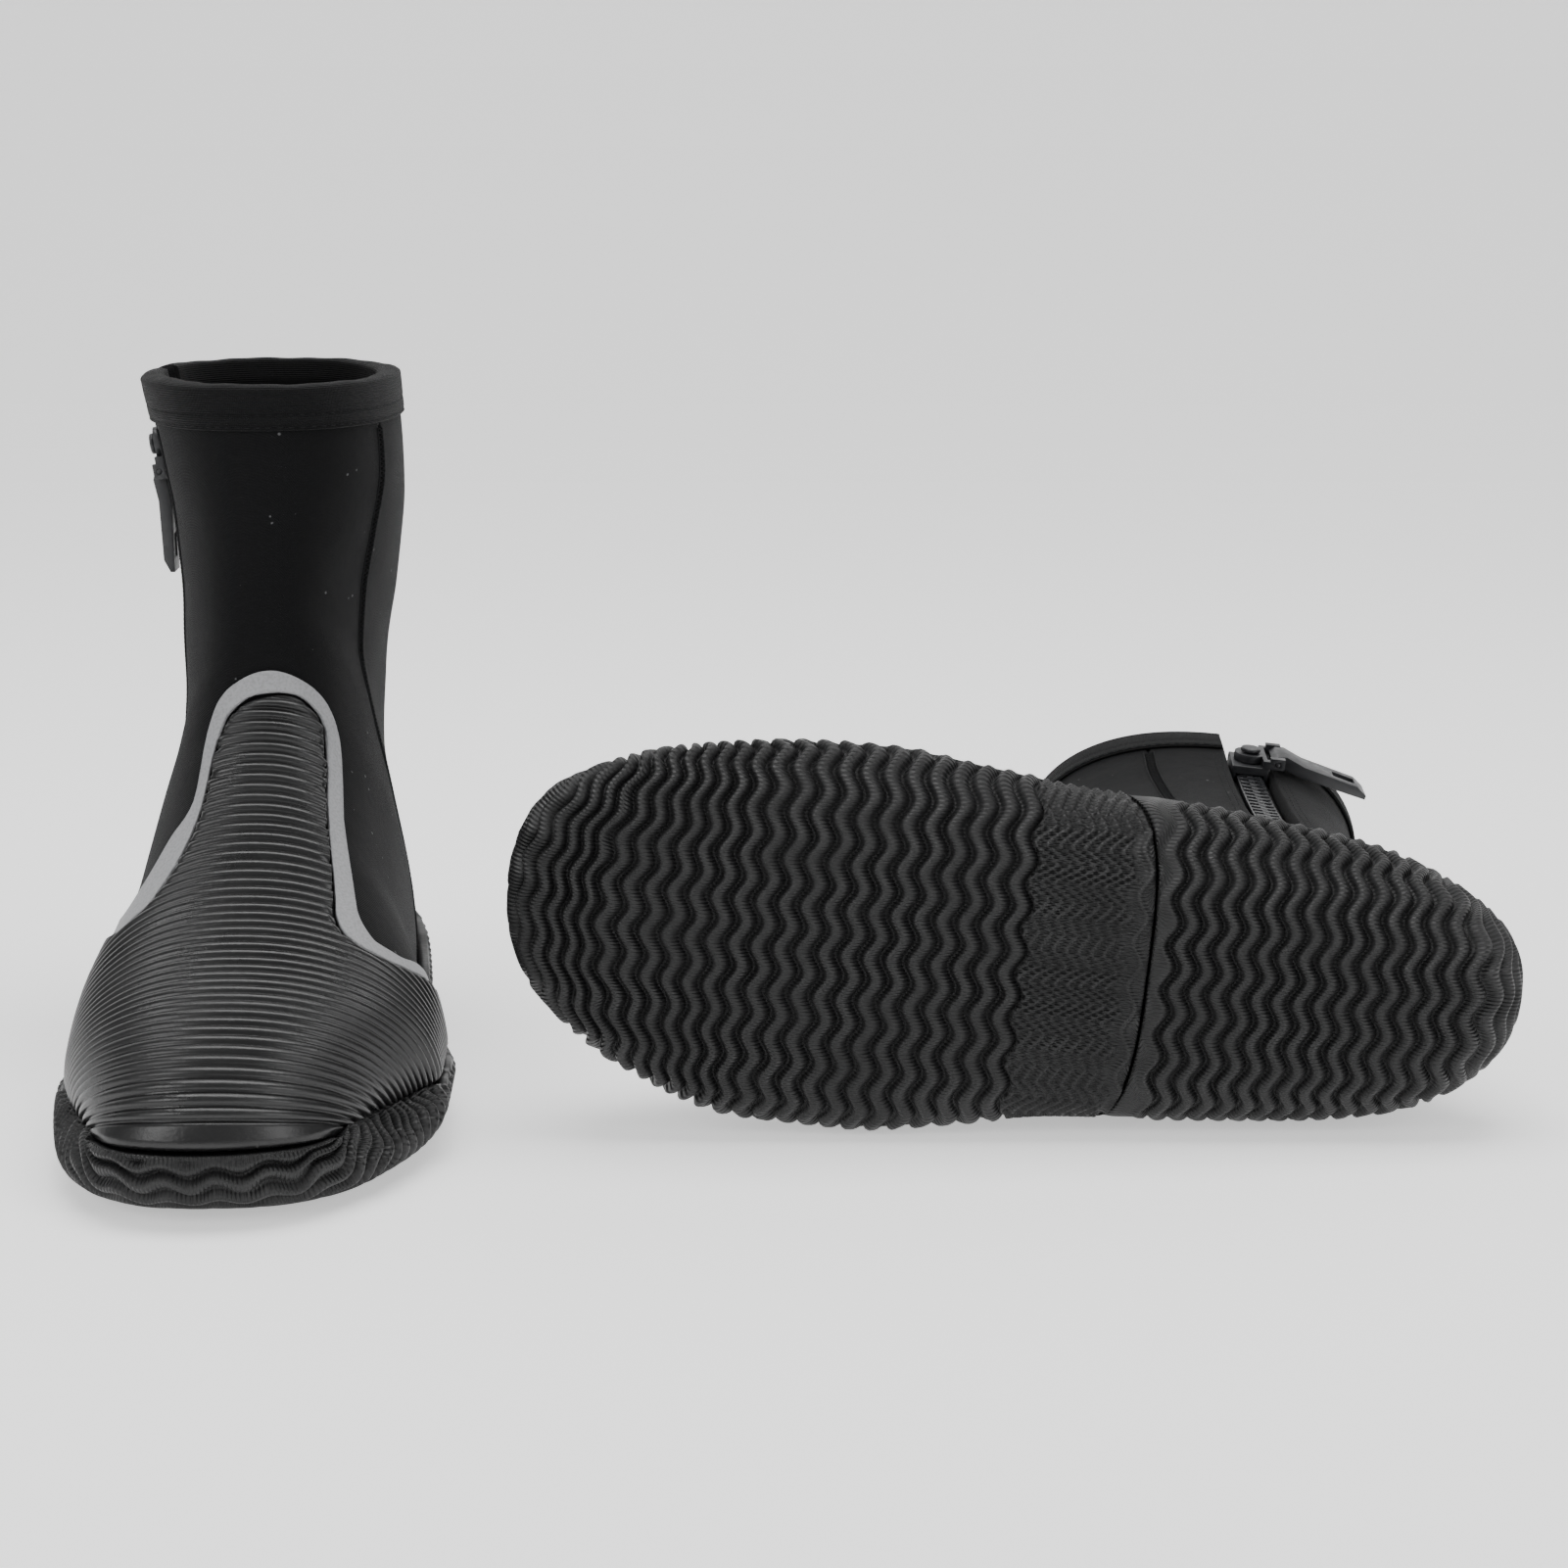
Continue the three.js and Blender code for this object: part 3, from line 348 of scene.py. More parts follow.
def girth_distance(points):
    """Distance round the girth from the middle column of a grid."""
    steps = np.linalg.norm(np.diff(points, axis=1), axis=2)
    whole = np.concatenate([np.zeros((len(points), 1)), np.cumsum(steps, 1)], 1)
    return whole - whole[:, whole.shape[1] // 2][:, None]


def shares(count):
    """Shares from 0 to 1 that crowd towards both ends, where an edge is rounded."""
    even = np.linspace(0, 1, count)
    ends = np.array([0.0, 0.12, 0.3, 0.6]) / (count - 1)
    inner = even[1:-1]
    return np.concatenate([ends, inner, 1 - ends[::-1]])


def border_distance(points):
    """Distance of each grid point from the nearest point of the grid's border."""
    border = np.concatenate([points[0], points[-1], points[:, 0], points[:, -1]])
    flat = points.reshape(-1, 3).astype(np.float32)
    border = border.astype(np.float32)
    square = (border**2).sum(1)
    out = np.empty(len(flat), np.float32)
    for i in range(0, len(flat), BORDER_BLOCK):
        part = flat[i:i + BORDER_BLOCK]
        gap = (part**2).sum(1)[:, None] + square - 2 * part @ border.T
        out[i:i + BORDER_BLOCK] = gap.min(1)
    return np.sqrt(np.maximum(out, 0)).reshape(points.shape[:2])


def rounded(distance, radius):
    """Drop of a rounded edge: a quarter circle within its radius of the border."""
    t = 1 - np.clip(distance / radius, 0, 1)
    return radius * (1 - np.sqrt(np.maximum(1 - t * t, 0)))


def grid_uv(points):
    """UV of a grid in centimetres of its own surface: across is measured round the girth from
    the middle column, and along is measured down each column."""
    across = girth_distance(points)
    along = np.linalg.norm(np.diff(points, axis=0), axis=2)
    along = np.concatenate([np.zeros((1, points.shape[1])), np.cumsum(along, 0)], 0)
    return np.stack([across, along], -1) / 10


class Shape:
    """Vertices in millimetres, quads that face out, and a UV for each vertex."""

    def __init__(self, points, quads, uv):
        self.points = points
        self.quads = quads
        self.uv = uv


def slab_faces(rows, columns):
    """Quads of a slab: the outer grid, the inner grid turned round, and the four sides."""
    index = np.arange(rows * columns).reshape(rows, columns)
    a, b, c, d = index[:-1, :-1], index[1:, :-1], index[1:, 1:], index[:-1, 1:]
    outer = np.stack([a, b, c, d], -1).reshape(-1, 4)
    inner = outer[:, ::-1] + rows * columns
    ring = np.concatenate([index[0, :-1], index[:-1, -1], index[-1, :0:-1], index[:0:-1, 0]])
    after = np.roll(ring, -1)
    sides = np.stack([ring, after, after + rows * columns, ring + rows * columns], -1)
    return np.concatenate([outer, inner, sides])


def slab(stations, angles, outer, inner, edge=0.5):
    """Closed skin between two depths over a grid of stations and angles, rounded at its outer
    border. A depth may be a number or a grid."""
    outer = np.broadcast_to(np.asarray(outer, float), stations.shape)
    inner = np.broadcast_to(np.asarray(inner, float), stations.shape)
    face = surface_point(stations, angles)
    normal = surface_normal(stations, angles)
    drop = rounded(border_distance(face), edge)
    skin = face + (outer - drop)[..., None] * normal
    back = face + inner[..., None] * normal
    points = np.concatenate([skin.reshape(-1, 3), back.reshape(-1, 3)])
    uv = np.tile(grid_uv(face).reshape(-1, 2), (2, 1))
    return Shape(points, slab_faces(*stations.shape), uv)


def ringed(rings, uv):
    """Shape from rings of points: each ring is joined to the next, and both ends are covered by
    a row of quads across the ring. A ring of an odd number leaves one small triangle open."""
    count, sides = rings.shape[:2]
    index = np.arange(count * sides).reshape(count, sides)
    beside = np.roll(index, -1, axis=1)
    wall = np.stack([index[:-1], index[1:], beside[1:], beside[:-1]], -1).reshape(-1, 4)
    k = np.arange(sides // 2 - 1)
    cap = np.stack([k, k + 1, sides - 2 - k, sides - 1 - k], -1)
    quads = np.concatenate([wall, index[0][cap], index[-1][cap[:, ::-1]]])
    return Shape(rings.reshape(-1, 3), quads, uv)


def tube(path, radius, sides):
    """Round tube along points: each ring stands across the path, turned so that its side is
    square to the vertical, or to the X axis where the path is steep."""
    ahead = unit(np.gradient(path, axis=0))
    guide = np.where(np.abs(ahead[:, 2:]) > 0.9, [[1.0, 0, 0]], [[0, 0, 1.0]])
    side = unit(np.cross(ahead, guide))
    up = np.cross(side, ahead)
    turn = np.linspace(0, 2 * np.pi, sides, endpoint=False)
    rings = (np.cos(turn)[:, None] * side[:, None] + np.sin(turn)[:, None] * up[:, None]) * radius
    uv = np.stack(np.meshgrid(turn, np.arange(len(path))), -1).reshape(-1, 2) / 10
    return ringed(rings + path[:, None], uv)


def together(shapes):
    """Several shapes as one, with their quads counted on."""
    counts = np.cumsum([0] + [len(shape.points) for shape in shapes[:-1]])
    quads = [shape.quads + count for shape, count in zip(shapes, counts)]
    points = np.concatenate([shape.points for shape in shapes])
    return Shape(points, np.concatenate(quads), np.concatenate([shape.uv for shape in shapes]))


def welded(shape):
    """The same shape with equal points joined, flat quads made triangles and lost ones dropped."""
    keys = np.round(shape.points / WELD).astype(np.int64)
    _, first, inverse = np.unique(keys, axis=0, return_index=True, return_inverse=True)
    quads = inverse.reshape(-1)[shape.quads]
    same = quads == np.roll(quads, 1, axis=1)
    whole = quads[~same.any(1)]
    bent = quads[same.sum(1) == 1]
    keep = ~same[same.sum(1) == 1]
    triangles = bent[keep].reshape(-1, 3)
    distinct = (whole[:, 0] != whole[:, 2]) & (whole[:, 1] != whole[:, 3])
    return shape.points[first], whole[distinct].tolist() + triangles.tolist(), shape.uv[first]


# ---------------------------------------------------------------- placing the boots

def zip_frame(height):
    """Frame of the zip at a height on its arc: U up, V to the toe, W out of the boot."""
    lean = math.asin((height - ZIP_WAIST_HEIGHT) / ZIP_RADIUS)
    inward = np.array([math.cos(lean), 0, math.sin(lean)])
    matrix = np.eye(4)
    matrix[:3, 0] = (-math.sin(lean), 0, math.cos(lean))
    matrix[:3, 1] = (0, 1, 0)
    matrix[:3, 2] = -inward
    centre = np.array([-(ZIP_WAIST + ZIP_RADIUS), ZIP_FORWARD, ZIP_WAIST_HEIGHT])
    matrix[:3, 3] = centre + inward * ZIP_RADIUS
    return matrix


SLIDER_HEIGHT = 192.7
CROWN_REACH = 8.6
CROWN_MIDDLE = 2.9
SWIVEL = {"left": 0.0, "right": 90.0}
STANDING_TURN = 2.1
LYING_TURNS = ((-0.3, "Z"), (6.5, "Y"), (-1.6, "X"))


def boot_turn(side):
    """Turn of the pattern frame in the row frame, with the left boot's mirror in it."""
    if side == "left":
        turn = np.array(Matrix.Rotation(math.radians(STANDING_TURN), 3, "Z"))
        return turn @ np.diag([1.0, -1.0, 1.0])
    laid = np.array([[0, -1, 0], [0, 0, 1], [-1, 0, 0]], float)
    turns = [Matrix.Rotation(math.radians(angle), 3, axis) for angle, axis in LYING_TURNS]
    return np.array(turns[0] @ turns[1] @ turns[2]) @ laid


def pin_place(side):
    """Middle of the pull's pin in the pattern frame."""
    swivel = math.radians(SWIVEL[side])
    local = [-CROWN_REACH * math.cos(swivel), -CROWN_REACH * math.sin(swivel), CROWN_MIDDLE, 1]
    return (zip_frame(SLIDER_HEIGHT) @ local)[:3]


def boot_place(side):
    """Matrix from the pattern to the row frame, in metres, set by the pull pin's middle."""
    low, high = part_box(f"{side}_pull_pin")
    matrix = np.eye(4)
    matrix[:3, :3] = boot_turn(side) * MM
    matrix[:3, 3] = (np.array(low) + np.array(high)) / 2 - matrix[:3, :3] @ pin_place(side)
    return matrix


PLACE = {side: boot_place(side) for side in SIDES}


def shown(mesh, material):
    """Smooth object of a mesh, in the scene, with its material."""
    mesh.polygons.foreach_set("use_smooth", np.ones(len(mesh.polygons), bool))
    mesh.materials.append(material)
    mesh.update()
    piece = bpy.data.objects.new(mesh.name, mesh)
    bpy.context.scene.collection.objects.link(piece)
    return piece


def make_piece(name, shape, material, body, replaced, side):
    """Puts a shape into a mesh object at the origin, with its place in its vertices."""
    points, faces, uv = welded(shape)
    matrix = PLACE[side]
    points = points @ matrix[:3, :3].T + matrix[:3, 3]
    if np.linalg.det(matrix[:3, :3]) < 0:
        faces = [face[::-1] for face in faces]
    mesh = bpy.data.meshes.new(name)
    mesh.from_pydata(points.tolist(), [], faces)
    corner = np.empty(len(mesh.loops), np.int32)
    mesh.loops.foreach_get("vertex_index", corner)
    layer = mesh.uv_layers.new(name="surface")
    layer.data.foreach_set("uv", uv[corner].astype(np.float32).ravel())
    piece = shown(mesh, material)
    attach(piece, body)
    if replaced:
        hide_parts(*replaced)


def both_boots(name, shape, material, replaced=()):
    """The same piece on the right boot and, mirrored, on the left boot."""
    for side in SIDES:
        nodes = [f"{side}_{node}" for node in replaced]
        make_piece(f"{side}_{name}", shape, material, f"{side}_boot", nodes, side)


# ---------------------------------------------------------------- materials

class Finish:
    """A principled material and the nodes that are hung on it."""

    def __init__(self, name, colour, roughness, **sockets):
        self.material = bpy.data.materials.new(name)
        self.material.use_nodes = True
        self.tree = self.material.node_tree
        self.shader = self.tree.nodes["Principled BSDF"]
        self.shader.inputs["Base Color"].default_value = (*colour, 1)
        self.shader.inputs["Roughness"].default_value = roughness
        for socket, value in sockets.items():
            self.shader.inputs[socket.replace("_", " ")].default_value = value
        self.bumps = None

    def node(self, kind, inputs=(), output=0, **settings):
        made = self.tree.nodes.new(kind)
        for key, value in settings.items():
            setattr(made, key, value)
        for socket, value in dict(inputs).items():
            if isinstance(value, bpy.types.NodeSocket):
                self.tree.links.new(value, made.inputs[socket])
            else:
                made.inputs[socket].default_value = value
        return made.outputs[output]

    def place(self):
        """Object coordinates in metres."""
        return self.node("ShaderNodeTexCoord", output="Object")

    def weave_place(self):
        """The piece's own surface UV in centimetres: across and along."""
        surface = self.node("ShaderNodeUVMap", uv_map="surface")
        across = self.node("ShaderNodeSeparateXYZ", {0: surface})
        return across, across.node.outputs[1]

    def noise(self, scale, detail=3.0):
        inputs = {"Vector": self.place(), "Scale": scale, "Detail": detail}
        return self.node("ShaderNodeTexNoise", inputs)

    def maths(self, operation, a, b=0.0):
        return self.node("ShaderNodeMath", {0: a, 1: b}, operation=operation)

    def turns(self, value, pitch):
        """A value as an angle that goes once round in each pitch."""
        return self.maths("MULTIPLY", value, 2 * math.pi / pitch)

    def wave(self, value, pitch):
        return self.maths("SINE", self.turns(value, pitch))

    def ramp(self, value, low, high, start, end):
        inputs = {"Value": value, "From Min": low, "From Max": high, "To Min": start, "To Max": end}
        return self.node("ShaderNodeMapRange", inputs)

    def bump(self, height, distance, strength=1.0):
        inputs = {"Height": height, "Distance": distance, "Strength": strength}
        if self.bumps is not None:
            inputs["Normal"] = self.bumps
        self.bumps = self.node("ShaderNodeBump", inputs)
        self.tree.links.new(self.bumps, self.shader.inputs["Normal"])

    def rough(self, value, low, high):
        """Roughness that wanders between two values with a noise."""
        self.tree.links.new(self.ramp(value, 0.3, 0.7, low, high), self.shader.inputs["Roughness"])

    def tint(self, factor, colour, other):
        inputs = {0: factor, 6: (*colour, 1), 7: (*other, 1)}
        mixed = self.node("ShaderNodeMix", inputs, output=2, data_type="RGBA")
        self.tree.links.new(mixed, self.shader.inputs["Base Color"])


CLOTH_SHEEN = {"Sheen_Weight": 0.035, "Sheen_Roughness": 0.4}
LINT_COLOUR = (0.08, 0.08, 0.083)


def jersey(name, colour, stitch=0.09):
    """Nylon jersey on neoprene: fine knit wales and courses, soft unevenness, sparse lint."""
    finish = Finish(name, colour, 0.8, Specular_IOR_Level=0.12, **CLOTH_SHEEN)
    across, along = finish.weave_place()
    wale = finish.wave(across, stitch)
    lean = finish.maths("MULTIPLY", wale, 0.35)
    course = finish.maths("SINE", finish.maths("ADD", finish.turns(along, stitch), lean))
    knit = finish.maths("MULTIPLY", finish.maths("ABSOLUTE", wale), course)
    finish.bump(knit, 0.00012, 0.55)
    finish.bump(finish.noise(220.0, 4.0), 0.0006, 0.35)
    cells = {"Vector": finish.place(), "Scale": 260.0, "Randomness": 1.0}
    lint = finish.maths("LESS_THAN", finish.node("ShaderNodeTexVoronoi", cells), 0.12)
    sparse = finish.maths("GREATER_THAN", finish.noise(90.0, 2.0), 0.6)
    finish.tint(finish.maths("MULTIPLY", lint, sparse), colour, LINT_COLOUR)
    return finish.material


def moulded_rubber(name, colour, low, high, grain=900.0):
    """Moulded rubber: its gloss wanders and a fine grain shows in the highlights."""
    finish = Finish(name, colour, low, Specular_IOR_Level=0.5)
    finish.rough(finish.noise(60.0, 4.0), low, high)
    finish.bump(finish.noise(grain, 3.0), 0.0002, 0.35)
    finish.bump(finish.noise(70.0, 3.0), 0.0012, 0.2)
    return finish.material


def tread_rubber(name, colour):
    """Sole rubber with cut lines about a millimetre apart that run along the foot."""
    finish = Finish(name, colour, 0.5, Specular_IOR_Level=0.45)
    across, _ = finish.weave_place()
    wander = finish.maths("MULTIPLY", finish.noise(120.0, 2.0), 2.5)
    lines = finish.maths("SINE", finish.maths("ADD", finish.turns(across, 0.115), wander))
    finish.bump(lines, 0.00028, 0.7)
    finish.bump(finish.noise(700.0, 3.0), 0.00025, 0.4)
    finish.rough(finish.noise(80.0, 4.0), 0.38, 0.62)
    return finish.material


def speckled(name, colour, other, roughness):
    """Matt rubber print with a slight speckle."""
    finish = Finish(name, colour, roughness, Specular_IOR_Level=0.3)
    finish.tint(finish.ramp(finish.noise(1100.0, 3.0), 0.42, 0.68, 0.0, 1.0), colour, other)
    finish.bump(finish.noise(900.0, 3.0), 0.00015, 0.5)
    return finish.material


def ribbed_tape(name, colour, pitch=0.07, lengthwise=False):
    """Woven tape with fine ribs across it, or lengthwise, and finer cross threads."""
    finish = Finish(name, colour, 0.75, Specular_IOR_Level=0.15, **CLOTH_SHEEN)
    across, along = finish.weave_place()
    if lengthwise:
        across, along = along, across
    cross = finish.maths("MULTIPLY", finish.wave(across, 0.8 * pitch), 0.4)
    finish.bump(finish.maths("ADD", finish.wave(along, pitch), cross), 0.00018, 0.7)
    finish.bump(finish.noise(160.0, 3.0), 0.0008, 0.4)
    return finish.material


def hard_plastic(name, colour, low, high):
    """Moulded plastic with a faint spark-eroded grain."""
    finish = Finish(name, colour, low, Specular_IOR_Level=0.55)
    finish.rough(finish.noise(400.0, 3.0), low, high)
    finish.bump(finish.noise(1600.0, 2.0), 0.00008, 0.5)
    return finish.material


def shade(colour, factor):
    return tuple(factor * channel for channel in colour)


def make_materials(colours):
    black, rubber = tuple(colours.neoprene), tuple(colours.rubber)
    trim, plastic = tuple(colours.trim), tuple(colours.plastic)
    return {
        "neoprene": jersey("black_jersey_neoprene", black),
        "lining": jersey("sock_lining", shade(black, 0.8), 0.16),
        "binding": ribbed_tape("binding_tape", shade(black, 0.9)),
        "overlay": moulded_rubber("ribbed_overlay_rubber", rubber, 0.25, 0.4),
        "trim": speckled("grey_trim_rubber", trim, shade(trim, 0.8), 0.62),
        "outsole": tread_rubber("outsole_rubber", rubber),
        "footbed": ribbed_tape("footbed_cloth", shade(black, 1.5), 0.12),
        "tape": ribbed_tape("zip_tape_weave", shade(black, 0.8), 0.08, lengthwise=True),
        "teeth": hard_plastic("zip_tooth_plastic", plastic, 0.22, 0.4),
        "pull": hard_plastic("pull_plastic", plastic, 0.34, 0.5),
        "thread": ribbed_tape("seam_thread", shade(black, 2.6), 0.05),
    }


MATERIALS = {}


# ---------------------------------------------------------------- the soft shell

GIRTH_RADIUS = 37.0
SEAM_DEGREES = math.degrees(SEAM_GAP / 2 / GIRTH_RADIUS)
SMALL_TOE = 25.0
SMALL_TOE_SPREAD = 9.0
SOFT_DEPTH = 0.12
SOFT_WAVES = (
    ((0.0, 0.05, 0.11), 0.7, 1.0), ((-0.09, 0.0, 0.071), 2.1, 1.0), ((-0.07, 0.13, 0.19), 0.0, 0.7),
)
WORN_FROM, WORN_FULLY, WORN_UNTIL, WORN_END = 40.0, 100.0, 180.0, 200.0
FOOTBED_GAP = 0.8
FOOTBED_THICKNESS = 3.0
FOOTBED_TOE, FOOTBED_HEEL = 36.0, 184.0


def edge_seam(station):
    """Half a seam as an angle beside the sole's edge, wider where the toe's girths are small."""
    small = np.clip(1 - np.asarray(station) / SMALL_TOE, 0, 1)
    return SEAM_DEGREES * (1 + SMALL_TOE_SPREAD * small)


def between(low, high, share):
    return low[:, None] + (high - low)[:, None] * share[None, :]


def spread_share(start, end, count, station):
    """Shares of the way between two angles, at equal distances along a station's girth."""
    angles = even_angles(start, end, count, station)
    return (angles - start) / (end - start)


def softness(points):
    """Slow unevenness of soft neoprene in millimetres: crossed waves, none above 0."""
    waves = sum(
        size * (np.sin(points @ np.array(slope) + phase) - 1) for slope, phase, size in SOFT_WAVES
    )
    return SOFT_DEPTH * waves


def worn(points):
    """Depth to which the neoprene is worn: the softness, run out at the sole and the binding."""
    height = points[..., 2]
    rising = np.clip((height - WORN_FROM) / (WORN_FULLY - WORN_FROM), 0, 1)
    falling = np.clip((WORN_END - height) / (WORN_END - WORN_UNTIL), 0, 1)
    return rising * falling * softness(points)


def columns_of(values, count):
    """A column of values repeated side by side as a grid."""
    return np.repeat(values[:, None], count, 1)


def neoprene_panel(stations, angles):
    """Panel of neoprene whose edges are pinched down by their seams."""
    return slab(stations, angles, worn(surface_point(stations, angles)), -NEOPRENE, 0.8)


def front_panel():
    """Front of the shaft and the toe: from the inner to the outer seam at every station."""
    rows = even_stations(0.7, COLLAR, 190, 0)
    low = -np.minimum(medial_seam(rows), feather_angle(rows)) + edge_seam(rows)
    high = np.minimum(lateral_seam(rows), feather_angle(rows)) - edge_seam(rows)
    share = spread_share(-85, 85, 170, 150)
    return neoprene_panel(columns_of(rows, len(share)), between(low, high, share))


def medial_panel():
    """Ankle panel between the inner seam and the zip's slot."""
    rows = even_stations(MEDIAL_FOOT, COLLAR, 150, 270)
    zip_edge = zip_angle(rows, slot_half(rows)) - 360
    low = np.where(rows <= ZIP_FOOT, -feather_angle(rows) + SEAM_DEGREES, zip_edge)
    high = np.maximum(-medial_seam(rows) - SEAM_DEGREES, low)
    share = shares(44)
    return neoprene_panel(columns_of(rows, len(share)), between(low, high, share))


def rear_panel():
    """Heel and outer side: from the outer seam round the back to the zip, above the heel cup."""
    rows = even_stations(LATERAL_FOOT + SEAM_GAP, COLLAR, 190, 200)
    low = lateral_seam(rows) + SEAM_DEGREES
    foot = 360 - float(feather_angle(ZIP_FOOT))
    high = np.where(rows <= ZIP_FOOT, foot, zip_angle(rows, -slot_half(rows)))
    share = spread_share(62, 276, 170, 235)
    angles = between(low, high, share)
    from_sole = np.where(angles <= 180, angles, 360 - angles)
    stations = np.maximum(rows[:, None], feather_station(from_sole) + SEAM_GAP)
    return neoprene_panel(stations, angles)


def sole_angles(rows, share):
    low = feather_angle(rows) + edge_seam(rows)
    high = 360 - feather_angle(rows) - edge_seam(rows)
    return between(low, high, share)


def sole_sock():
    """Neoprene under the foot, up to the feather line all round."""
    rows = even_stations(SEAM_GAP, HEEL_CUP - SEAM_GAP, 120, 180)
    share = spread_share(91, 269, 90, 90)
    return slab(columns_of(rows, len(share)), sole_angles(rows, share), 0, -NEOPRENE)


def footbed():
    """Insole on the sock, narrowing at the toes, with a rounded edge."""
    edge = curve([(30, 168), (45, 159), (75, 138), (FOOTBED_HEEL, 138)])
    rows = even_stations(FOOTBED_TOE, FOOTBED_HEEL, 110, 180)
    share = shares(50)
    angles = between(edge(rows), 360 - edge(rows), share)
    top = -NEOPRENE - FOOTBED_GAP
    return slab(columns_of(rows, len(share)), angles, top, top - FOOTBED_THICKNESS, 0.8)


# ---------------------------------------------------------------- seams

SEAM_TOP = COLLAR - 11
ZIGZAG_SWING = 1.45
ZIGZAG_PITCH = 1.5
ZIGZAG_LIFT = 0.22
ZIGZAG_RADIUS = 0.3
SIDE_THREAD_OFFSET = 1.75
SIDE_THREAD_LIFT = 0.1
SIDE_THREAD_RADIUS = 0.32
ZIP_STITCH_MARGINS = (2.2, 4.4)
ZIP_STITCH_RADIUS = 0.2
ZIP_STITCH_LIFT, ZIP_STITCH_SINK = 0.05, -0.35


def across_seam(station, angle):
    """Points of a line on the surface, its normals, and the directions across it."""
    point, normal = surface_point(station, angle), surface_normal(station, angle)
    return point, normal, np.cross(normal, unit(np.gradient(point, axis=0)))


def zigzag(station, angle):
    """Flatlock thread: a zigzag across a seam line, laid on the surface."""
    length = path_length(surface_point(station, angle))
    at = np.linspace(0, length[-1], 2 * int(length[-1] / ZIGZAG_PITCH) + 1)
    s, a = np.interp(at, length, station), np.interp(at, length, angle)
    point, normal, across = across_seam(s, a)
    swing = ZIGZAG_SWING * np.where(np.arange(len(at)) % 2, 1.0, -1.0)
    rise = (ZIGZAG_LIFT + worn(point))[:, None]
    return tube(point + across * swing[:, None] + normal * rise, ZIGZAG_RADIUS, 4)


def side_thread(station, angle, offset):
    """Thread that runs beside a seam line at an offset across it."""
    point, normal, across = across_seam(station, angle)
    rise = (SIDE_THREAD_LIFT + worn(point))[:, None]
    return tube(point + across * offset + normal * rise, SIDE_THREAD_RADIUS, 5)


def flatlock(station, angle):
    """Seam of one zigzag with a thread along each side."""
    sides = [side_thread(station, angle, side * SIDE_THREAD_OFFSET) for side in (1, -1)]
    return together([zigzag(station, angle), *sides])


def panel_seams():
    """Flatlock seams of both sides, from the feather line up to the binding."""
    outer = even_stations(LATERAL_FOOT + 1, SEAM_TOP, 420, 60)
    inner = even_stations(MEDIAL_FOOT + 1, SEAM_TOP, 420, 290)
    return together([flatlock(outer, lateral_seam(outer)), flatlock(inner, -medial_seam(inner))])


def zip_stitches():
    """Two lines of stitches that hold the panels to the zip's tapes, as short dashes."""
    rows = even_stations(zip_station(ZIP_BOTTOM - 4), SEAM_TOP, 84, 270)
    sink = np.array([ZIP_STITCH_SINK, ZIP_STITCH_LIFT, ZIP_STITCH_LIFT, ZIP_STITCH_SINK])
    offsets = [side * (slot_half(rows) + margin) for side in (-1, 1) for margin in ZIP_STITCH_MARGINS]
    dashes = []
    for offset in offsets:
        angle = zip_angle(rows, offset)
        for low in range(0, len(rows) - 1, 2):
            s = np.linspace(rows[low], rows[low + 1], len(sink))
            a = np.linspace(angle[low], angle[low + 1], len(sink))
            depth = sink + worn(surface_point(s, a))
            dashes.append(tube(layer_point(s, a, depth), ZIP_STITCH_RADIUS, 4))
    return together(dashes)


# ---------------------------------------------------------------- ribbed overlay and trim

RIB_PITCH = 3.95
RIB_SHARES = np.array([0.0, 0.13, 0.32, 0.52, 0.74, 0.9])
RIB_HEIGHTS = np.array([0.0, 0.62, 0.96, 1.0, 0.82, 0.42])
RIB_FADE = 2.2
RIB_LEFT = 0.35
PLAIN_TOE_RIBS = 1.6
PLAIN_TOE_HEIGHT = 0.85
OVERLAY_START = 0.9
OVERLAY_TOP = 189.0
OVERLAY_SIDE = 88.7
OVERLAY_MARGIN = 0.85
VAMP_GAP = 0.65
OVERLAY_BASE = 1.35
OVERLAY_CREST = 3.05
TRIM_MARGIN = 0.2
TRIM_LEAST = 0.4
TRIM_INNER = 0.2
TRIM_OUTER = VAMP_GAP + 1.0


def outline_angles(count):
    """Angles over the vamp, with more where the tongue's sides run almost straight up."""
    even = even_angles(-89.2, 89.2, count, 75)
    steep = [np.linspace(-29, -15, 14), np.linspace(23.4, 27, 14), np.linspace(28, 34, 14)]
    return np.unique(np.round(np.concatenate([even, *steep]), 3))


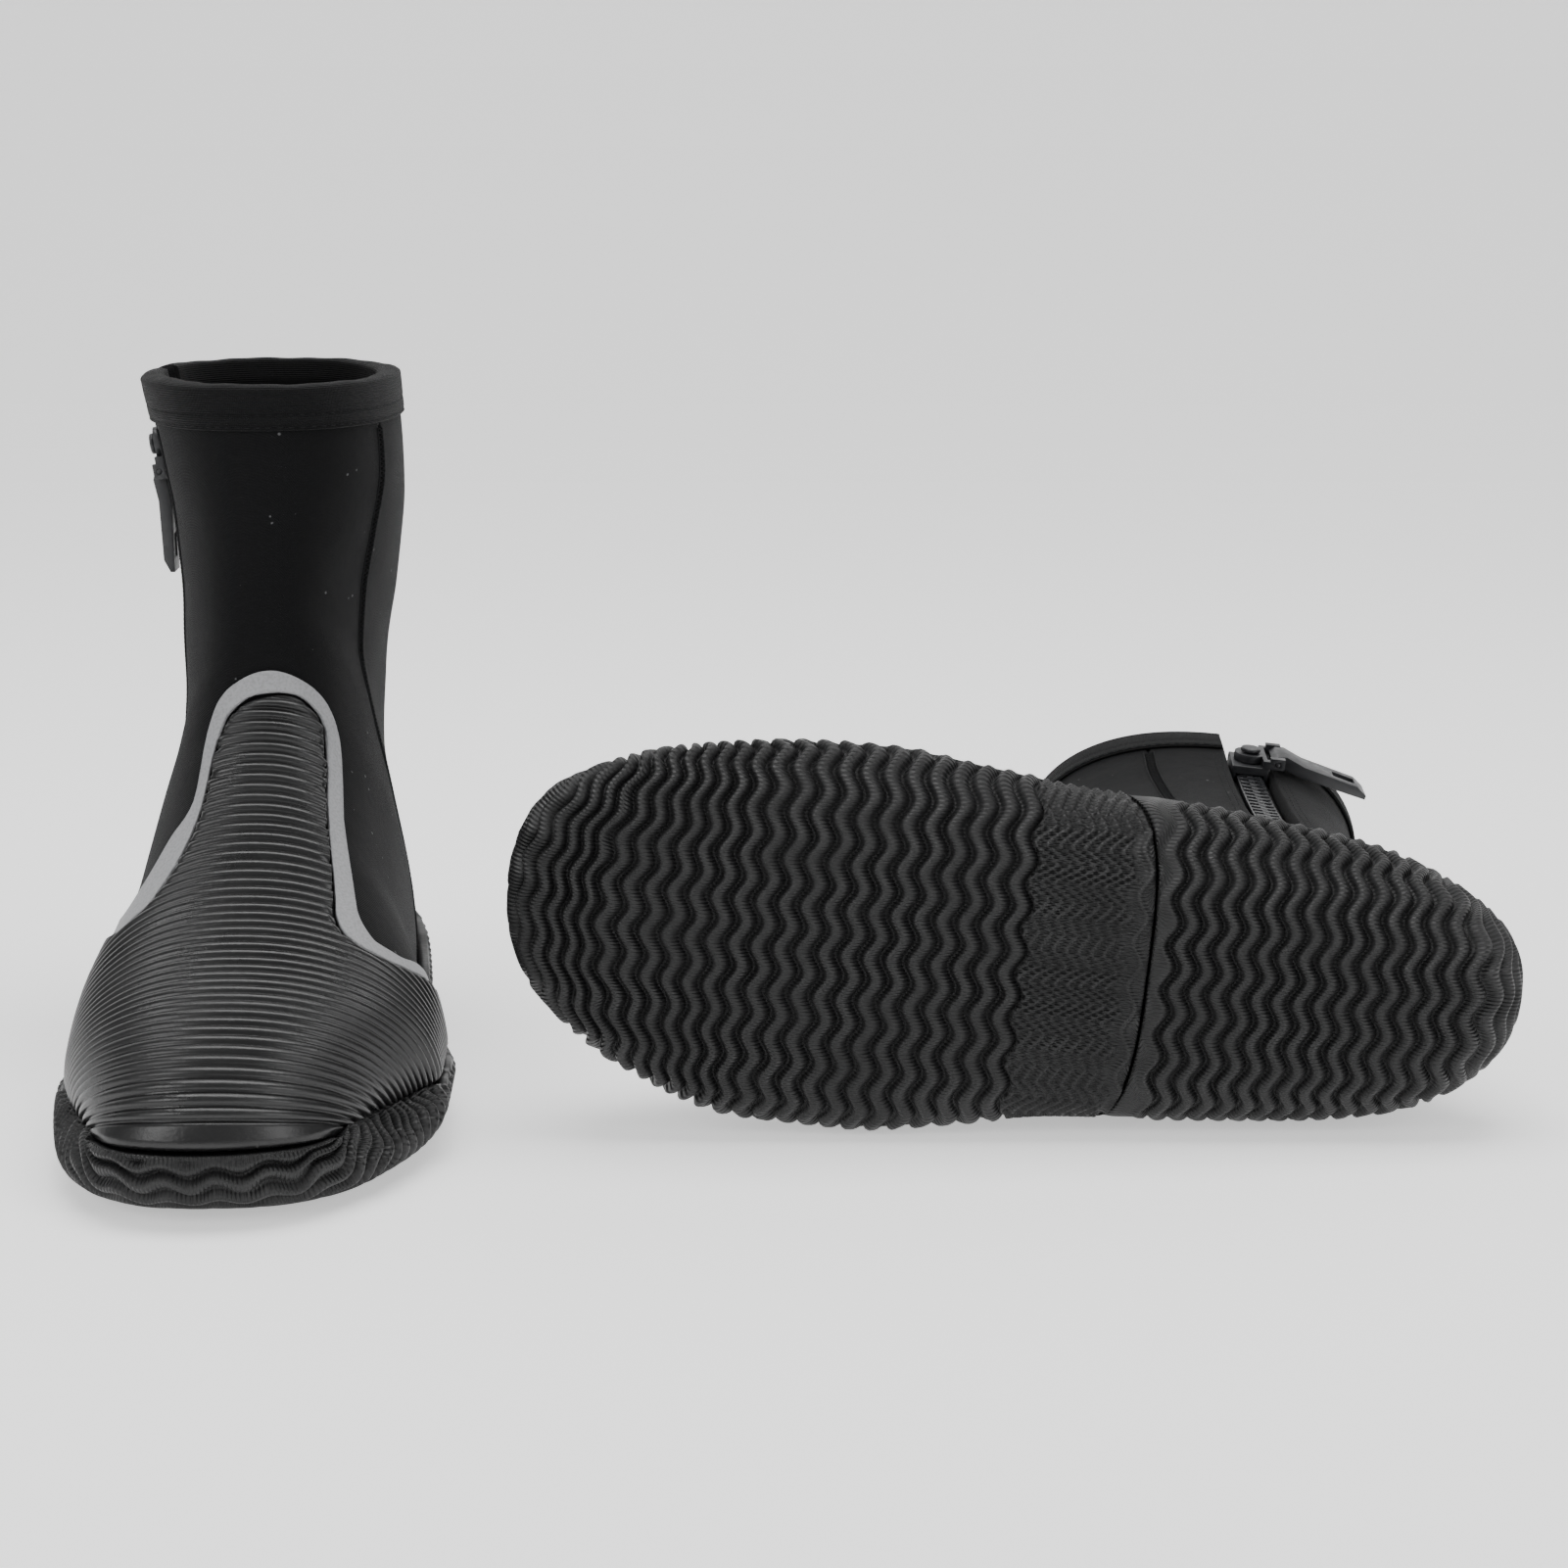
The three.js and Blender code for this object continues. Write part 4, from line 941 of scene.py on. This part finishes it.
def toe_overlay():
    """Ribbed rubber: a rib for each step of the station, its profile a steep groove and a round
    crest, run out at the outline."""
    count = int((OVERLAY_TOP - OVERLAY_START) / RIB_PITCH) + 1
    rows = (OVERLAY_START + RIB_PITCH * (np.arange(count)[:, None] + RIB_SHARES)).ravel()
    plain = rows < OVERLAY_START + PLAIN_TOE_RIBS * RIB_PITCH
    crest = np.where(plain, PLAIN_TOE_HEIGHT, np.tile(RIB_HEIGHTS, count))
    columns = outline_angles(104)
    beside = columns + np.sign(columns - 4) * math.degrees(OVERLAY_MARGIN / GIRTH_RADIUS)
    outline = np.minimum(OVERLAY_EDGE(columns), OVERLAY_EDGE(np.clip(beside, -90, 90)))
    stations = np.minimum(rows[:, None], outline - OVERLAY_MARGIN)
    widest = OVERLAY_SIDE - 2 * edge_seam(stations)
    angles = np.clip(columns, -widest, widest)
    inside = smooth_step(border_distance(surface_point(stations, angles)) / RIB_FADE)
    rise = crest[:, None] * (RIB_LEFT + (1 - RIB_LEFT) * inside)
    return slab(stations, angles, OVERLAY_BASE + (OVERLAY_CREST - OVERLAY_BASE) * rise, VAMP_GAP)


def instep_trim():
    """Grey band between the overlay's outline and its own outer edge."""
    columns = outline_angles(260)
    share = shares(34)
    low = OVERLAY_EDGE(columns) + TRIM_MARGIN
    high = np.maximum(TRIM_EDGE(columns), low + TRIM_LEAST)
    stations = low + (high - low) * share[:, None]
    angles = np.broadcast_to(columns, stations.shape)
    return slab(stations, angles, TRIM_OUTER, TRIM_INNER, 0.4)


# ---------------------------------------------------------------- outsole

SOLE_PART = 158.0
TREAD_PITCH = 6.6
HEEL_PITCH = 6.1
WAVE_LENGTH = 13.3
WAVE_SWING = 1.5
TREAD_SHARES = np.array([0.0, 0.1, 0.22, 0.36, 0.5, 0.64, 0.78, 0.9])
TREAD_HEIGHTS = np.array([0.0, 0.3, 0.62, 0.85, 0.97, 1.0, 0.84, 0.4])
TREAD_BASE = 2.1
TREAD_CREST = 5.3
TREAD_BAND = 4.2
BAND_WIDTH = 0.6
BAND_FADE = 1.6
LAYER_GAP = 0.3

TOE_CURL, HEEL_CURL = 45.0, 184.0
TOE_STRETCH = 1.5
ARC_CURVE = 0.010
ARC_FROM, ARC_FULLY = 225.0, 285.0

SHANK_FORWARD = 148.0
SHANK_LENGTH = 46.0
SHANK_STEP = 0.55
SHANK_BASE = 3.7
SHANK_RIDGE = 1.15
SHANK_PITCH = 3.7
SHANK_RIDGES_FROM = 117.5
CHEVRON_WIDTH = 11.0
BEAD_FORWARD = 115.0
BEAD_WIDTH = 1.2
BEAD_HEIGHT = 1.3

HEEL_FORWARD = 112.0
BREAST_LENGTH = 6.0
BREAST_FADE = 2.5
BREAST_DEPTH = 4.4


def tread_forward(stations, angles):
    """Place of each point along the tread, in millimetres towards the toe: its distance from the
    heel, with the toe's and the heel's walls unrolled, the toe's arcs added, and the wave."""
    face = surface_point(stations, angles)
    column = stations[:, 0]
    length = path_length(surface_point(column, 180.0))
    toe = np.maximum(np.interp(TOE_CURL, column, length) - length, 0)
    heel = np.maximum(length - np.interp(HEEL_CURL, column, length), 0)
    unrolled = bottom_y(np.clip(column, TOE_CURL, HEEL_CURL)) + TOE_STRETCH * toe - heel
    arcs = smooth_step((face[..., 1] - ARC_FROM) / (ARC_FULLY - ARC_FROM))
    wave = WAVE_SWING * np.sin(2 * np.pi * girth_distance(face) / WAVE_LENGTH)
    shift = (unrolled - bottom_y(column))[:, None]
    return face[..., 1] + shift + ARC_CURVE * arcs * face[..., 0] ** 2 + wave


def tread_rows(start, end, forward, share):
    """Stations of a grid whose rows hold their places along the tread: each column's stations
    are read back from its places. The first and last rows follow the part's ends."""
    dense = np.linspace(start, end, 500)
    place = tread_forward(columns_of(dense, len(share)), sole_angles(dense, share))
    place = np.minimum.accumulate(place, axis=0)
    stations = [np.interp(forward, column[::-1], dense[::-1]) for column in place.T]
    rows = np.stack(stations, 1)
    rows[0], rows[-1] = end, start
    return np.sort(rows[::-1], axis=0)


def shank_depth(forward, across, fade):
    """Fine chevron ridges under the arch, with a bead across their rear end."""
    slant = np.abs((across / CHEVRON_WIDTH) % 1 - 0.5) * CHEVRON_WIDTH
    ridge = smooth_step(0.9 * np.cos(2 * np.pi * (forward + slant) / SHANK_PITCH) + 0.35)
    bead = np.exp(-(((forward - BEAD_FORWARD) / BEAD_WIDTH) ** 2))
    ridge = ridge * smooth_step((forward - SHANK_RIDGES_FROM) / 2) * fade
    return SHANK_BASE + SHANK_RIDGE * ridge + BEAD_HEIGHT * bead


def outsole(start, end, first, last, pitch, shank):
    """Part of the outsole, with a row for each crest, flank and groove of its wavy ridges."""
    share = spread_share(91, 269, 168, 90)
    ridges = np.arange(int((last - first) / pitch) + 1)
    forward = (first + pitch * (ridges[:, None] + TREAD_SHARES)).ravel()
    crest = np.tile(TREAD_HEIGHTS, len(ridges))
    if shank:
        plain = np.arange(first - SHANK_LENGTH, first - 0.1, SHANK_STEP)
        forward = np.concatenate([plain, forward])
        crest = np.concatenate([np.zeros(len(plain)), crest])
    rows = tread_rows(start, end, forward, share)
    crest, forward = crest[::-1, None], forward[::-1, None]
    low = feather_angle(rows) + edge_seam(rows)
    angles = low + (360 - 2 * low) * share
    face = surface_point(rows, angles)
    across = girth_distance(face)
    wall = np.minimum(across - across[:, :1], across[:, -1:] - across)
    tip = face[:1] if shank else face[-1:]
    wall = np.minimum(wall, np.linalg.norm(face - tip, axis=2))
    fade = smooth_step((wall - BAND_WIDTH) / BAND_FADE)
    ridge = TREAD_BASE + fade * (TREAD_CREST - TREAD_BASE) * crest
    depth = ridge + (1 - fade) * (TREAD_BAND - TREAD_BASE)
    if shank:
        depth = np.where(forward < first, shank_depth(forward, across, fade), depth)
    else:
        breast = smooth_step((forward - (last - BREAST_LENGTH)) / BREAST_FADE)
        depth = depth * (1 - breast) + BREAST_DEPTH * breast
    return slab(rows, angles, depth, LAYER_GAP, 0.6)


def front_outsole():
    return outsole(SEAM_GAP, SOLE_PART - SEAM_GAP, SHANK_FORWARD, 345.0, TREAD_PITCH, True)


def heel_outsole():
    return outsole(SOLE_PART, HEEL_CUP - SEAM_GAP, -30.0, HEEL_FORWARD, HEEL_PITCH, False)


# ---------------------------------------------------------------- collar

BINDING_HEIGHT = 13.0
BINDING_LINING = 9.0
BINDING_THICKNESS = 1.1
BINDING_INSET = 1.0
BINDING_LINES = (12.0, 8.2)
STITCH_SINK = 0.3
STITCH_RADIUS = 0.17
RIM_BELOW = 0.4
RIM_RISE = 1.5


def collar_angles(count, inset=BINDING_INSET):
    """Angles round the rim from one side of the zip to the other."""
    edge = np.array([COLLAR])
    start = float(zip_angle(edge, SLOT_WIDTH / 2 + inset)[0]) - 360
    end = float(zip_angle(edge, -SLOT_WIDTH / 2 - inset)[0])
    return even_angles(start, end, count, COLLAR)


def rim_station(angle, drop):
    """Station that lies a height below the rim at each angle."""
    def height(station):
        return surface_point(station, angle)[..., 2]

    return where_rising(height, RIM_HEIGHT - drop, 232, COLLAR, angle.shape)


def collar_binding():
    """Folded tape: a profile that climbs the outside, rounds the rim and goes down the inside,
    carried round the rim. The rim waves a little and the tape's edges are rolled."""
    angle = collar_angles(420)
    along = np.linspace(0, 1, len(angle))
    wave = 0.35 * np.sin(17 * along * np.pi) + 0.25 * np.sin(41 * along * np.pi + 1)
    near, far = LAYER_GAP, LAYER_GAP + BINDING_THICKNESS
    lining = -NEOPRENE - LAYER_GAP
    inner = lining - BINDING_THICKNESS
    rim, normal = surface_point(COLLAR, angle), surface_normal(COLLAR, angle)

    def down(*places):
        return [layer_point(rim_station(angle, drop), angle, depth) for drop, depth in places]

    def above(depth, rise):
        return rim + normal * depth + np.stack(np.broadcast_arrays(0, 0, rise + 0 * angle), -1)

    high, low = BINDING_LINES
    outside = down(
        (BINDING_HEIGHT, near), (BINDING_HEIGHT + 0.1, (near + far) / 2), (BINDING_HEIGHT - 0.3, far),
        (high, far - 0.28), (high - 0.8, far), (low + 0.6, far), (low, far - 0.22), (low - 0.7, far),
        (4.0, far + 0.05), (1.0, far),
    )
    fold = [
        above((far + inner + (far - inner) * math.cos(turn)) / 2,
              RIM_RISE * math.sin(turn) * (1 + 0.25 * wave) - RIM_BELOW)
        for turn in np.radians(np.arange(0, 181, 20))
    ]
    inside = down(
        (1.5, inner), (5.0, inner), (BINDING_LINING - 0.2, inner), (BINDING_LINING, lining - 0.5),
        (BINDING_LINING - 0.2, lining), (4.0, lining), (0.6, lining),
    )
    inner_rim = [above(lining + (near - lining) * share, 0.35) for share in (0.25, 0.5, 0.75)]
    rings = np.stack(outside + fold + inside + inner_rim + down((3.0, near), (9.0, near)), 1)
    uv = np.broadcast_arrays(path_length(rings[:, 2])[:, None], path_length(rings[200]))
    return ringed(rings, np.stack(uv, -1).reshape(-1, 2) / 10)


def binding_stitches():
    """Two lines of stitches round the binding, near its lower edge."""
    angle = collar_angles(361, 2.0)
    dashes = []
    for drop in BINDING_LINES:
        station = rim_station(angle, drop)
        point = layer_point(station, angle, 1.2)
        sink = surface_normal(station, angle) * STITCH_SINK
        for low in range(0, len(angle) - 4, 4):
            path = point[low:low + 4].copy()
            path[0] -= sink[low]
            path[-1] -= sink[low + 3]
            dashes.append(tube(path, STITCH_RADIUS, 4))
    return together(dashes)


# ---------------------------------------------------------------- zip

TAPE_OUTER = -NEOPRENE - 0.4
TAPE_THICKNESS = 1.0
TAPE_WIDTH = 14.0
GUSSET_OUTER = TAPE_OUTER - 1.4
GUSSET_THICKNESS = 1.5
GUSSET_WIDTH = 17.0
GUSSET_FOOT = ZIP_BOTTOM - SLOT_POINT - 2
MERGE_DISTANCE = 2e-6
FLAT_ANGLE = math.radians(1.0)
SHARP_ANGLE = math.radians(28)


def zip_strip(low, high, outer, thickness, columns, edge, bottom):
    """Strip beside or behind the zip, between two distances from its middle."""
    rows = even_stations(zip_station(bottom), zip_station(ZIP_TOP), 120, 270)
    share = shares(columns)
    angles = between(zip_angle(rows, low), zip_angle(rows, high), share)
    return slab(columns_of(rows, len(share)), angles, outer, outer - thickness, edge)


def zip_tape(low, high):
    return zip_strip(low, high, TAPE_OUTER, TAPE_THICKNESS, 14, 0.3, ZIP_BOTTOM - STOP_LENGTH)


def zip_gusset():
    return zip_strip(
        -GUSSET_WIDTH, GUSSET_WIDTH, GUSSET_OUTER, GUSSET_THICKNESS, 30, 0.6, GUSSET_FOOT
    )


def eased_copy(node, material, width, segments):
    """A copy of a CAD node with its doubles merged and its flat triangles joined, and its edges
    eased by a live bevel."""
    source = frame["nodes"][node]
    mesh = source.data.copy()
    mesh.name = node + "_eased"
    work = bmesh.new()
    work.from_mesh(mesh)
    bmesh.ops.remove_doubles(work, verts=work.verts, dist=MERGE_DISTANCE)
    bmesh.ops.dissolve_limit(
        work, angle_limit=FLAT_ANGLE, verts=work.verts, edges=work.edges,
        use_dissolve_boundaries=False,
    )
    work.to_mesh(mesh)
    work.free()
    mesh.materials.clear()
    piece = shown(mesh, material)
    ease = piece.modifiers.new("eased_edges", "BEVEL")
    ease.width = width
    ease.segments = segments
    ease.limit_method = "ANGLE"
    ease.angle_limit = SHARP_ANGLE
    ease.harden_normals = True
    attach(piece, source["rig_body"])
    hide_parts(node)


# ---------------------------------------------------------------- operators

def colour_property(name, description, default):
    return bpy.props.FloatVectorProperty(
        name=name, description=description, default=default, subtype="COLOR", min=0, max=1
    )


class BootColours(bpy.types.PropertyGroup):
    """Base colours of the boots' materials."""

    neoprene: colour_property("Neoprene", "Jersey face of the neoprene", (0.0042, 0.0043, 0.0047))
    rubber: colour_property("Rubber", "Overlay and outsole rubber", (0.0075, 0.0075, 0.0078))
    trim: colour_property("Trim", "Grey rubber band round the overlay", (0.30, 0.302, 0.31))
    plastic: colour_property("Plastic", "Zip teeth, slider and pull", (0.014, 0.0145, 0.0165))


class BootSizes(bpy.types.PropertyGroup):
    """Sizes of the fine pieces and of the studio."""

    tooth_ease: bpy.props.FloatProperty(
        name="Tooth easing", description="Rounding of the zip teeth's edges",
        default=0.00025, unit="LENGTH",
    )
    pull_ease: bpy.props.FloatProperty(
        name="Pull easing", description="Rounding of the slider's and the pull's edges",
        default=0.00045, unit="LENGTH",
    )
    floor_size: bpy.props.FloatProperty(
        name="Floor", description="Width of the floor", default=12.0, unit="LENGTH"
    )


class BOOTS_OT_materials(bpy.types.Operator):
    """Makes the boots' procedural materials"""

    bl_idname = "boots.materials"
    bl_label = "Materials"

    def execute(self, context):
        MATERIALS.update(make_materials(context.scene.boot_colours))
        return {"FINISHED"}


class BOOTS_OT_shell(bpy.types.Operator):
    """Makes the neoprene panels, the sock and the footbed of both boots"""

    bl_idname = "boots.shell"
    bl_label = "Neoprene shell"

    def execute(self, context):
        soft = MATERIALS["neoprene"]
        both_boots("front_neoprene", front_panel(), soft, ["front_panel"])
        both_boots("medial_neoprene", medial_panel(), soft, ["medial_panel"])
        both_boots("rear_neoprene", rear_panel(), soft, ["rear_panel"])
        both_boots("sole_sock_neoprene", sole_sock(), MATERIALS["lining"], ["sole_sock"])
        both_boots("shaped_footbed", footbed(), MATERIALS["footbed"], ["footbed"])
        return {"FINISHED"}


class BOOTS_OT_seams(bpy.types.Operator):
    """Sews the flatlock seams and the stitches beside the zip"""

    bl_idname = "boots.seams"
    bl_label = "Seams"

    def execute(self, context):
        both_boots("flatlock_seams", panel_seams(), MATERIALS["thread"])
        both_boots("zip_stitches", zip_stitches(), MATERIALS["thread"])
        return {"FINISHED"}


class BOOTS_OT_collar(bpy.types.Operator):
    """Makes the folded collar binding and its stitches"""

    bl_idname = "boots.collar"
    bl_label = "Collar"

    def execute(self, context):
        tape = MATERIALS["binding"]
        both_boots("folded_binding", collar_binding(), tape, ["collar_binding"])
        both_boots("binding_stitches", binding_stitches(), MATERIALS["thread"])
        return {"FINISHED"}


class BOOTS_OT_vamp(bpy.types.Operator):
    """Makes the ribbed rubber overlay and its grey trim"""

    bl_idname = "boots.vamp"
    bl_label = "Overlay and trim"

    def execute(self, context):
        rubber, grey = MATERIALS["overlay"], MATERIALS["trim"]
        both_boots("ribbed_overlay", toe_overlay(), rubber, ["toe_overlay"])
        both_boots("grey_trim", instep_trim(), grey, ["instep_trim"])
        return {"FINISHED"}


class BOOTS_OT_soles(bpy.types.Operator):
    """Makes the wavy front and heel outsoles"""

    bl_idname = "boots.soles"
    bl_label = "Outsoles"

    def execute(self, context):
        rubber = MATERIALS["outsole"]
        both_boots("wavy_front_outsole", front_outsole(), rubber, ["outsole_front"])
        both_boots("wavy_heel_outsole", heel_outsole(), rubber, ["outsole_heel"])
        return {"FINISHED"}


class BOOTS_OT_zips(bpy.types.Operator):
    """Makes the zips' tapes and gussets and eases their teeth and stops"""

    bl_idname = "boots.zips"
    bl_label = "Zips"

    def execute(self, context):
        weave = MATERIALS["tape"]
        front, rear = zip_tape(LAYER_GAP, TAPE_WIDTH), zip_tape(-TAPE_WIDTH, -LAYER_GAP)
        both_boots("woven_tape_front", front, weave, ["zip_tape_front"])
        both_boots("woven_tape_rear", rear, weave, ["zip_tape_rear"])
        both_boots("soft_gusset", zip_gusset(), MATERIALS["lining"], ["zip_gusset"])
        ease = context.scene.boot_sizes.tooth_ease
        nodes = ("teeth_front", "teeth_rear", "bottom_stop", "top_stop_front", "top_stop_rear")
        for side in SIDES:
            for node in nodes:
                eased_copy(f"{side}_zip_{node}", MATERIALS["teeth"], ease, 1)
        return {"FINISHED"}


class BOOTS_OT_pulls(bpy.types.Operator):
    """Eases the sliders, crowns, pins and tabs"""

    bl_idname = "boots.pulls"
    bl_label = "Sliders and pulls"

    def execute(self, context):
        ease = context.scene.boot_sizes.pull_ease
        for side in SIDES:
            eased_copy(f"{side}_zip_slider", MATERIALS["pull"], ease, 3)
            eased_copy(f"{side}_pull_crown", MATERIALS["pull"], ease, 3)
            eased_copy(f"{side}_pull_pin", MATERIALS["pull"], 0.2 * ease, 1)
            eased_copy(f"{side}_pull_tab", MATERIALS["pull"], ease, 3)
        return {"FINISHED"}


LIGHTS = (
    ("overhead", (0.0, 0.1, 1.5), (0, 0, 0.05), (1.4, 0.9), 22),
    ("front_left", (-1.1, -1.2, 0.9), (0, 0, 0.08), (0.8, 0.8), 9),
    ("front_right", (1.2, -1.1, 0.7), (0.05, 0, 0.08), (0.7, 0.9), 8),
)
SWEEP_PLACE = 1.6
SWEEP_RADIUS = 1.0
SWEEP_STEPS = 16
BACKDROP_HEIGHT = 3.6
FLOOR_GLOW = 0.62
SKY_STRENGTH = 0.35
CAMERA_PLACE = (-0.0025, -1.0776, 0.3043)
CAMERA_TILT = math.radians(79.01)
LENS = 81.57
FILM_WIDTH = 36


def area_light(name, place, target, size, power):
    lamp = bpy.data.lights.new(name, "AREA")
    lamp.shape = "RECTANGLE"
    lamp.size, lamp.size_y = size
    lamp.energy = power
    light = bpy.data.objects.new(name, lamp)
    light.location = place
    aim = Vector(place) - Vector(target)
    light.rotation_euler = aim.to_track_quat("Z", "Y").to_euler()
    bpy.context.scene.collection.objects.link(light)


def floor_mesh(width):
    """Floor that sweeps up into a backdrop through a quarter circle."""
    turn = np.radians(np.linspace(0, 90, SWEEP_STEPS))
    foot = SWEEP_PLACE + SWEEP_RADIUS * np.sin(turn)
    depth = np.concatenate([[-width / 2], foot, [SWEEP_PLACE + SWEEP_RADIUS]])
    height = np.concatenate([[0], SWEEP_RADIUS * (1 - np.cos(turn)), [BACKDROP_HEIGHT]])
    count = len(depth)
    edges = [np.stack([np.full(count, x), depth, height], 1) for x in (-width / 2, width / 2)]
    strips = [(k, count + k, count + 1 + k, k + 1) for k in range(count - 1)]
    mesh = bpy.data.meshes.new("floor")
    mesh.from_pydata(np.concatenate(edges).tolist(), [], strips)
    return mesh


class BOOTS_OT_studio(bpy.types.Operator):
    """Makes the pale floor, the soft lights and the camera"""

    bl_idname = "boots.studio"
    bl_label = "Studio"

    def execute(self, context):
        pale = Finish(
            "pale_floor", (0.9, 0.9, 0.9), 0.9, Specular_IOR_Level=0.05,
            Emission_Color=(1, 1, 1, 1), Emission_Strength=FLOOR_GLOW,
        )
        mesh = floor_mesh(context.scene.boot_sizes.floor_size)
        mesh.materials.append(pale.material)
        floor = bpy.data.objects.new("floor", mesh)
        context.scene.collection.objects.link(floor)

        world = bpy.data.worlds.new("soft_white")
        world.use_nodes = True
        sky = world.node_tree.nodes["Background"].inputs
        sky["Color"].default_value = (1, 1, 1, 1)
        sky["Strength"].default_value = SKY_STRENGTH
        context.scene.world = world
        for light in LIGHTS:
            area_light(*light)

        lens = bpy.data.cameras.new("camera")
        lens.lens = LENS
        lens.sensor_width = FILM_WIDTH
        camera = bpy.data.objects.new("camera", lens)
        camera.location = CAMERA_PLACE
        camera.rotation_euler = (CAMERA_TILT, 0, 0)
        context.scene.collection.objects.link(camera)
        context.scene.camera = camera
        return {"FINISHED"}


class BOOTS_PT_panel(bpy.types.Panel):
    """Lists the pieces in the sidebar"""

    bl_label = "Neoprene boots"
    bl_idname = "BOOTS_PT_panel"
    bl_space_type = "VIEW_3D"
    bl_region_type = "UI"
    bl_category = "Boots"

    def draw(self, context):
        layout = self.layout
        for name in ("neoprene", "rubber", "trim", "plastic"):
            layout.prop(context.scene.boot_colours, name)
        for name in ("tooth_ease", "pull_ease", "floor_size"):
            layout.prop(context.scene.boot_sizes, name)
        for operator in OPERATORS:
            layout.operator(operator.bl_idname)


OPERATORS = (
    BOOTS_OT_materials, BOOTS_OT_shell, BOOTS_OT_seams, BOOTS_OT_collar, BOOTS_OT_vamp,
    BOOTS_OT_soles, BOOTS_OT_zips, BOOTS_OT_pulls, BOOTS_OT_studio,
)
CLASSES = (BootColours, BootSizes, *OPERATORS, BOOTS_PT_panel)


def register():
    for cls in CLASSES:
        bpy.utils.register_class(cls)
    bpy.types.Scene.boot_colours = bpy.props.PointerProperty(type=BootColours)
    bpy.types.Scene.boot_sizes = bpy.props.PointerProperty(type=BootSizes)


def unregister():
    del bpy.types.Scene.boot_colours
    del bpy.types.Scene.boot_sizes
    for cls in reversed(CLASSES):
        bpy.utils.unregister_class(cls)


def plain(box):
    """A box as lists of numbers."""
    return [list(map(float, corner)) for corner in box]


def main():
    register()
    bpy.ops.boots.materials()
    bpy.ops.boots.shell()
    bpy.ops.boots.seams()
    bpy.ops.boots.collar()
    bpy.ops.boots.vamp()
    bpy.ops.boots.soles()
    bpy.ops.boots.zips()
    bpy.ops.boots.pulls()
    bpy.ops.boots.studio()


if __name__ == "__main__":
    main()
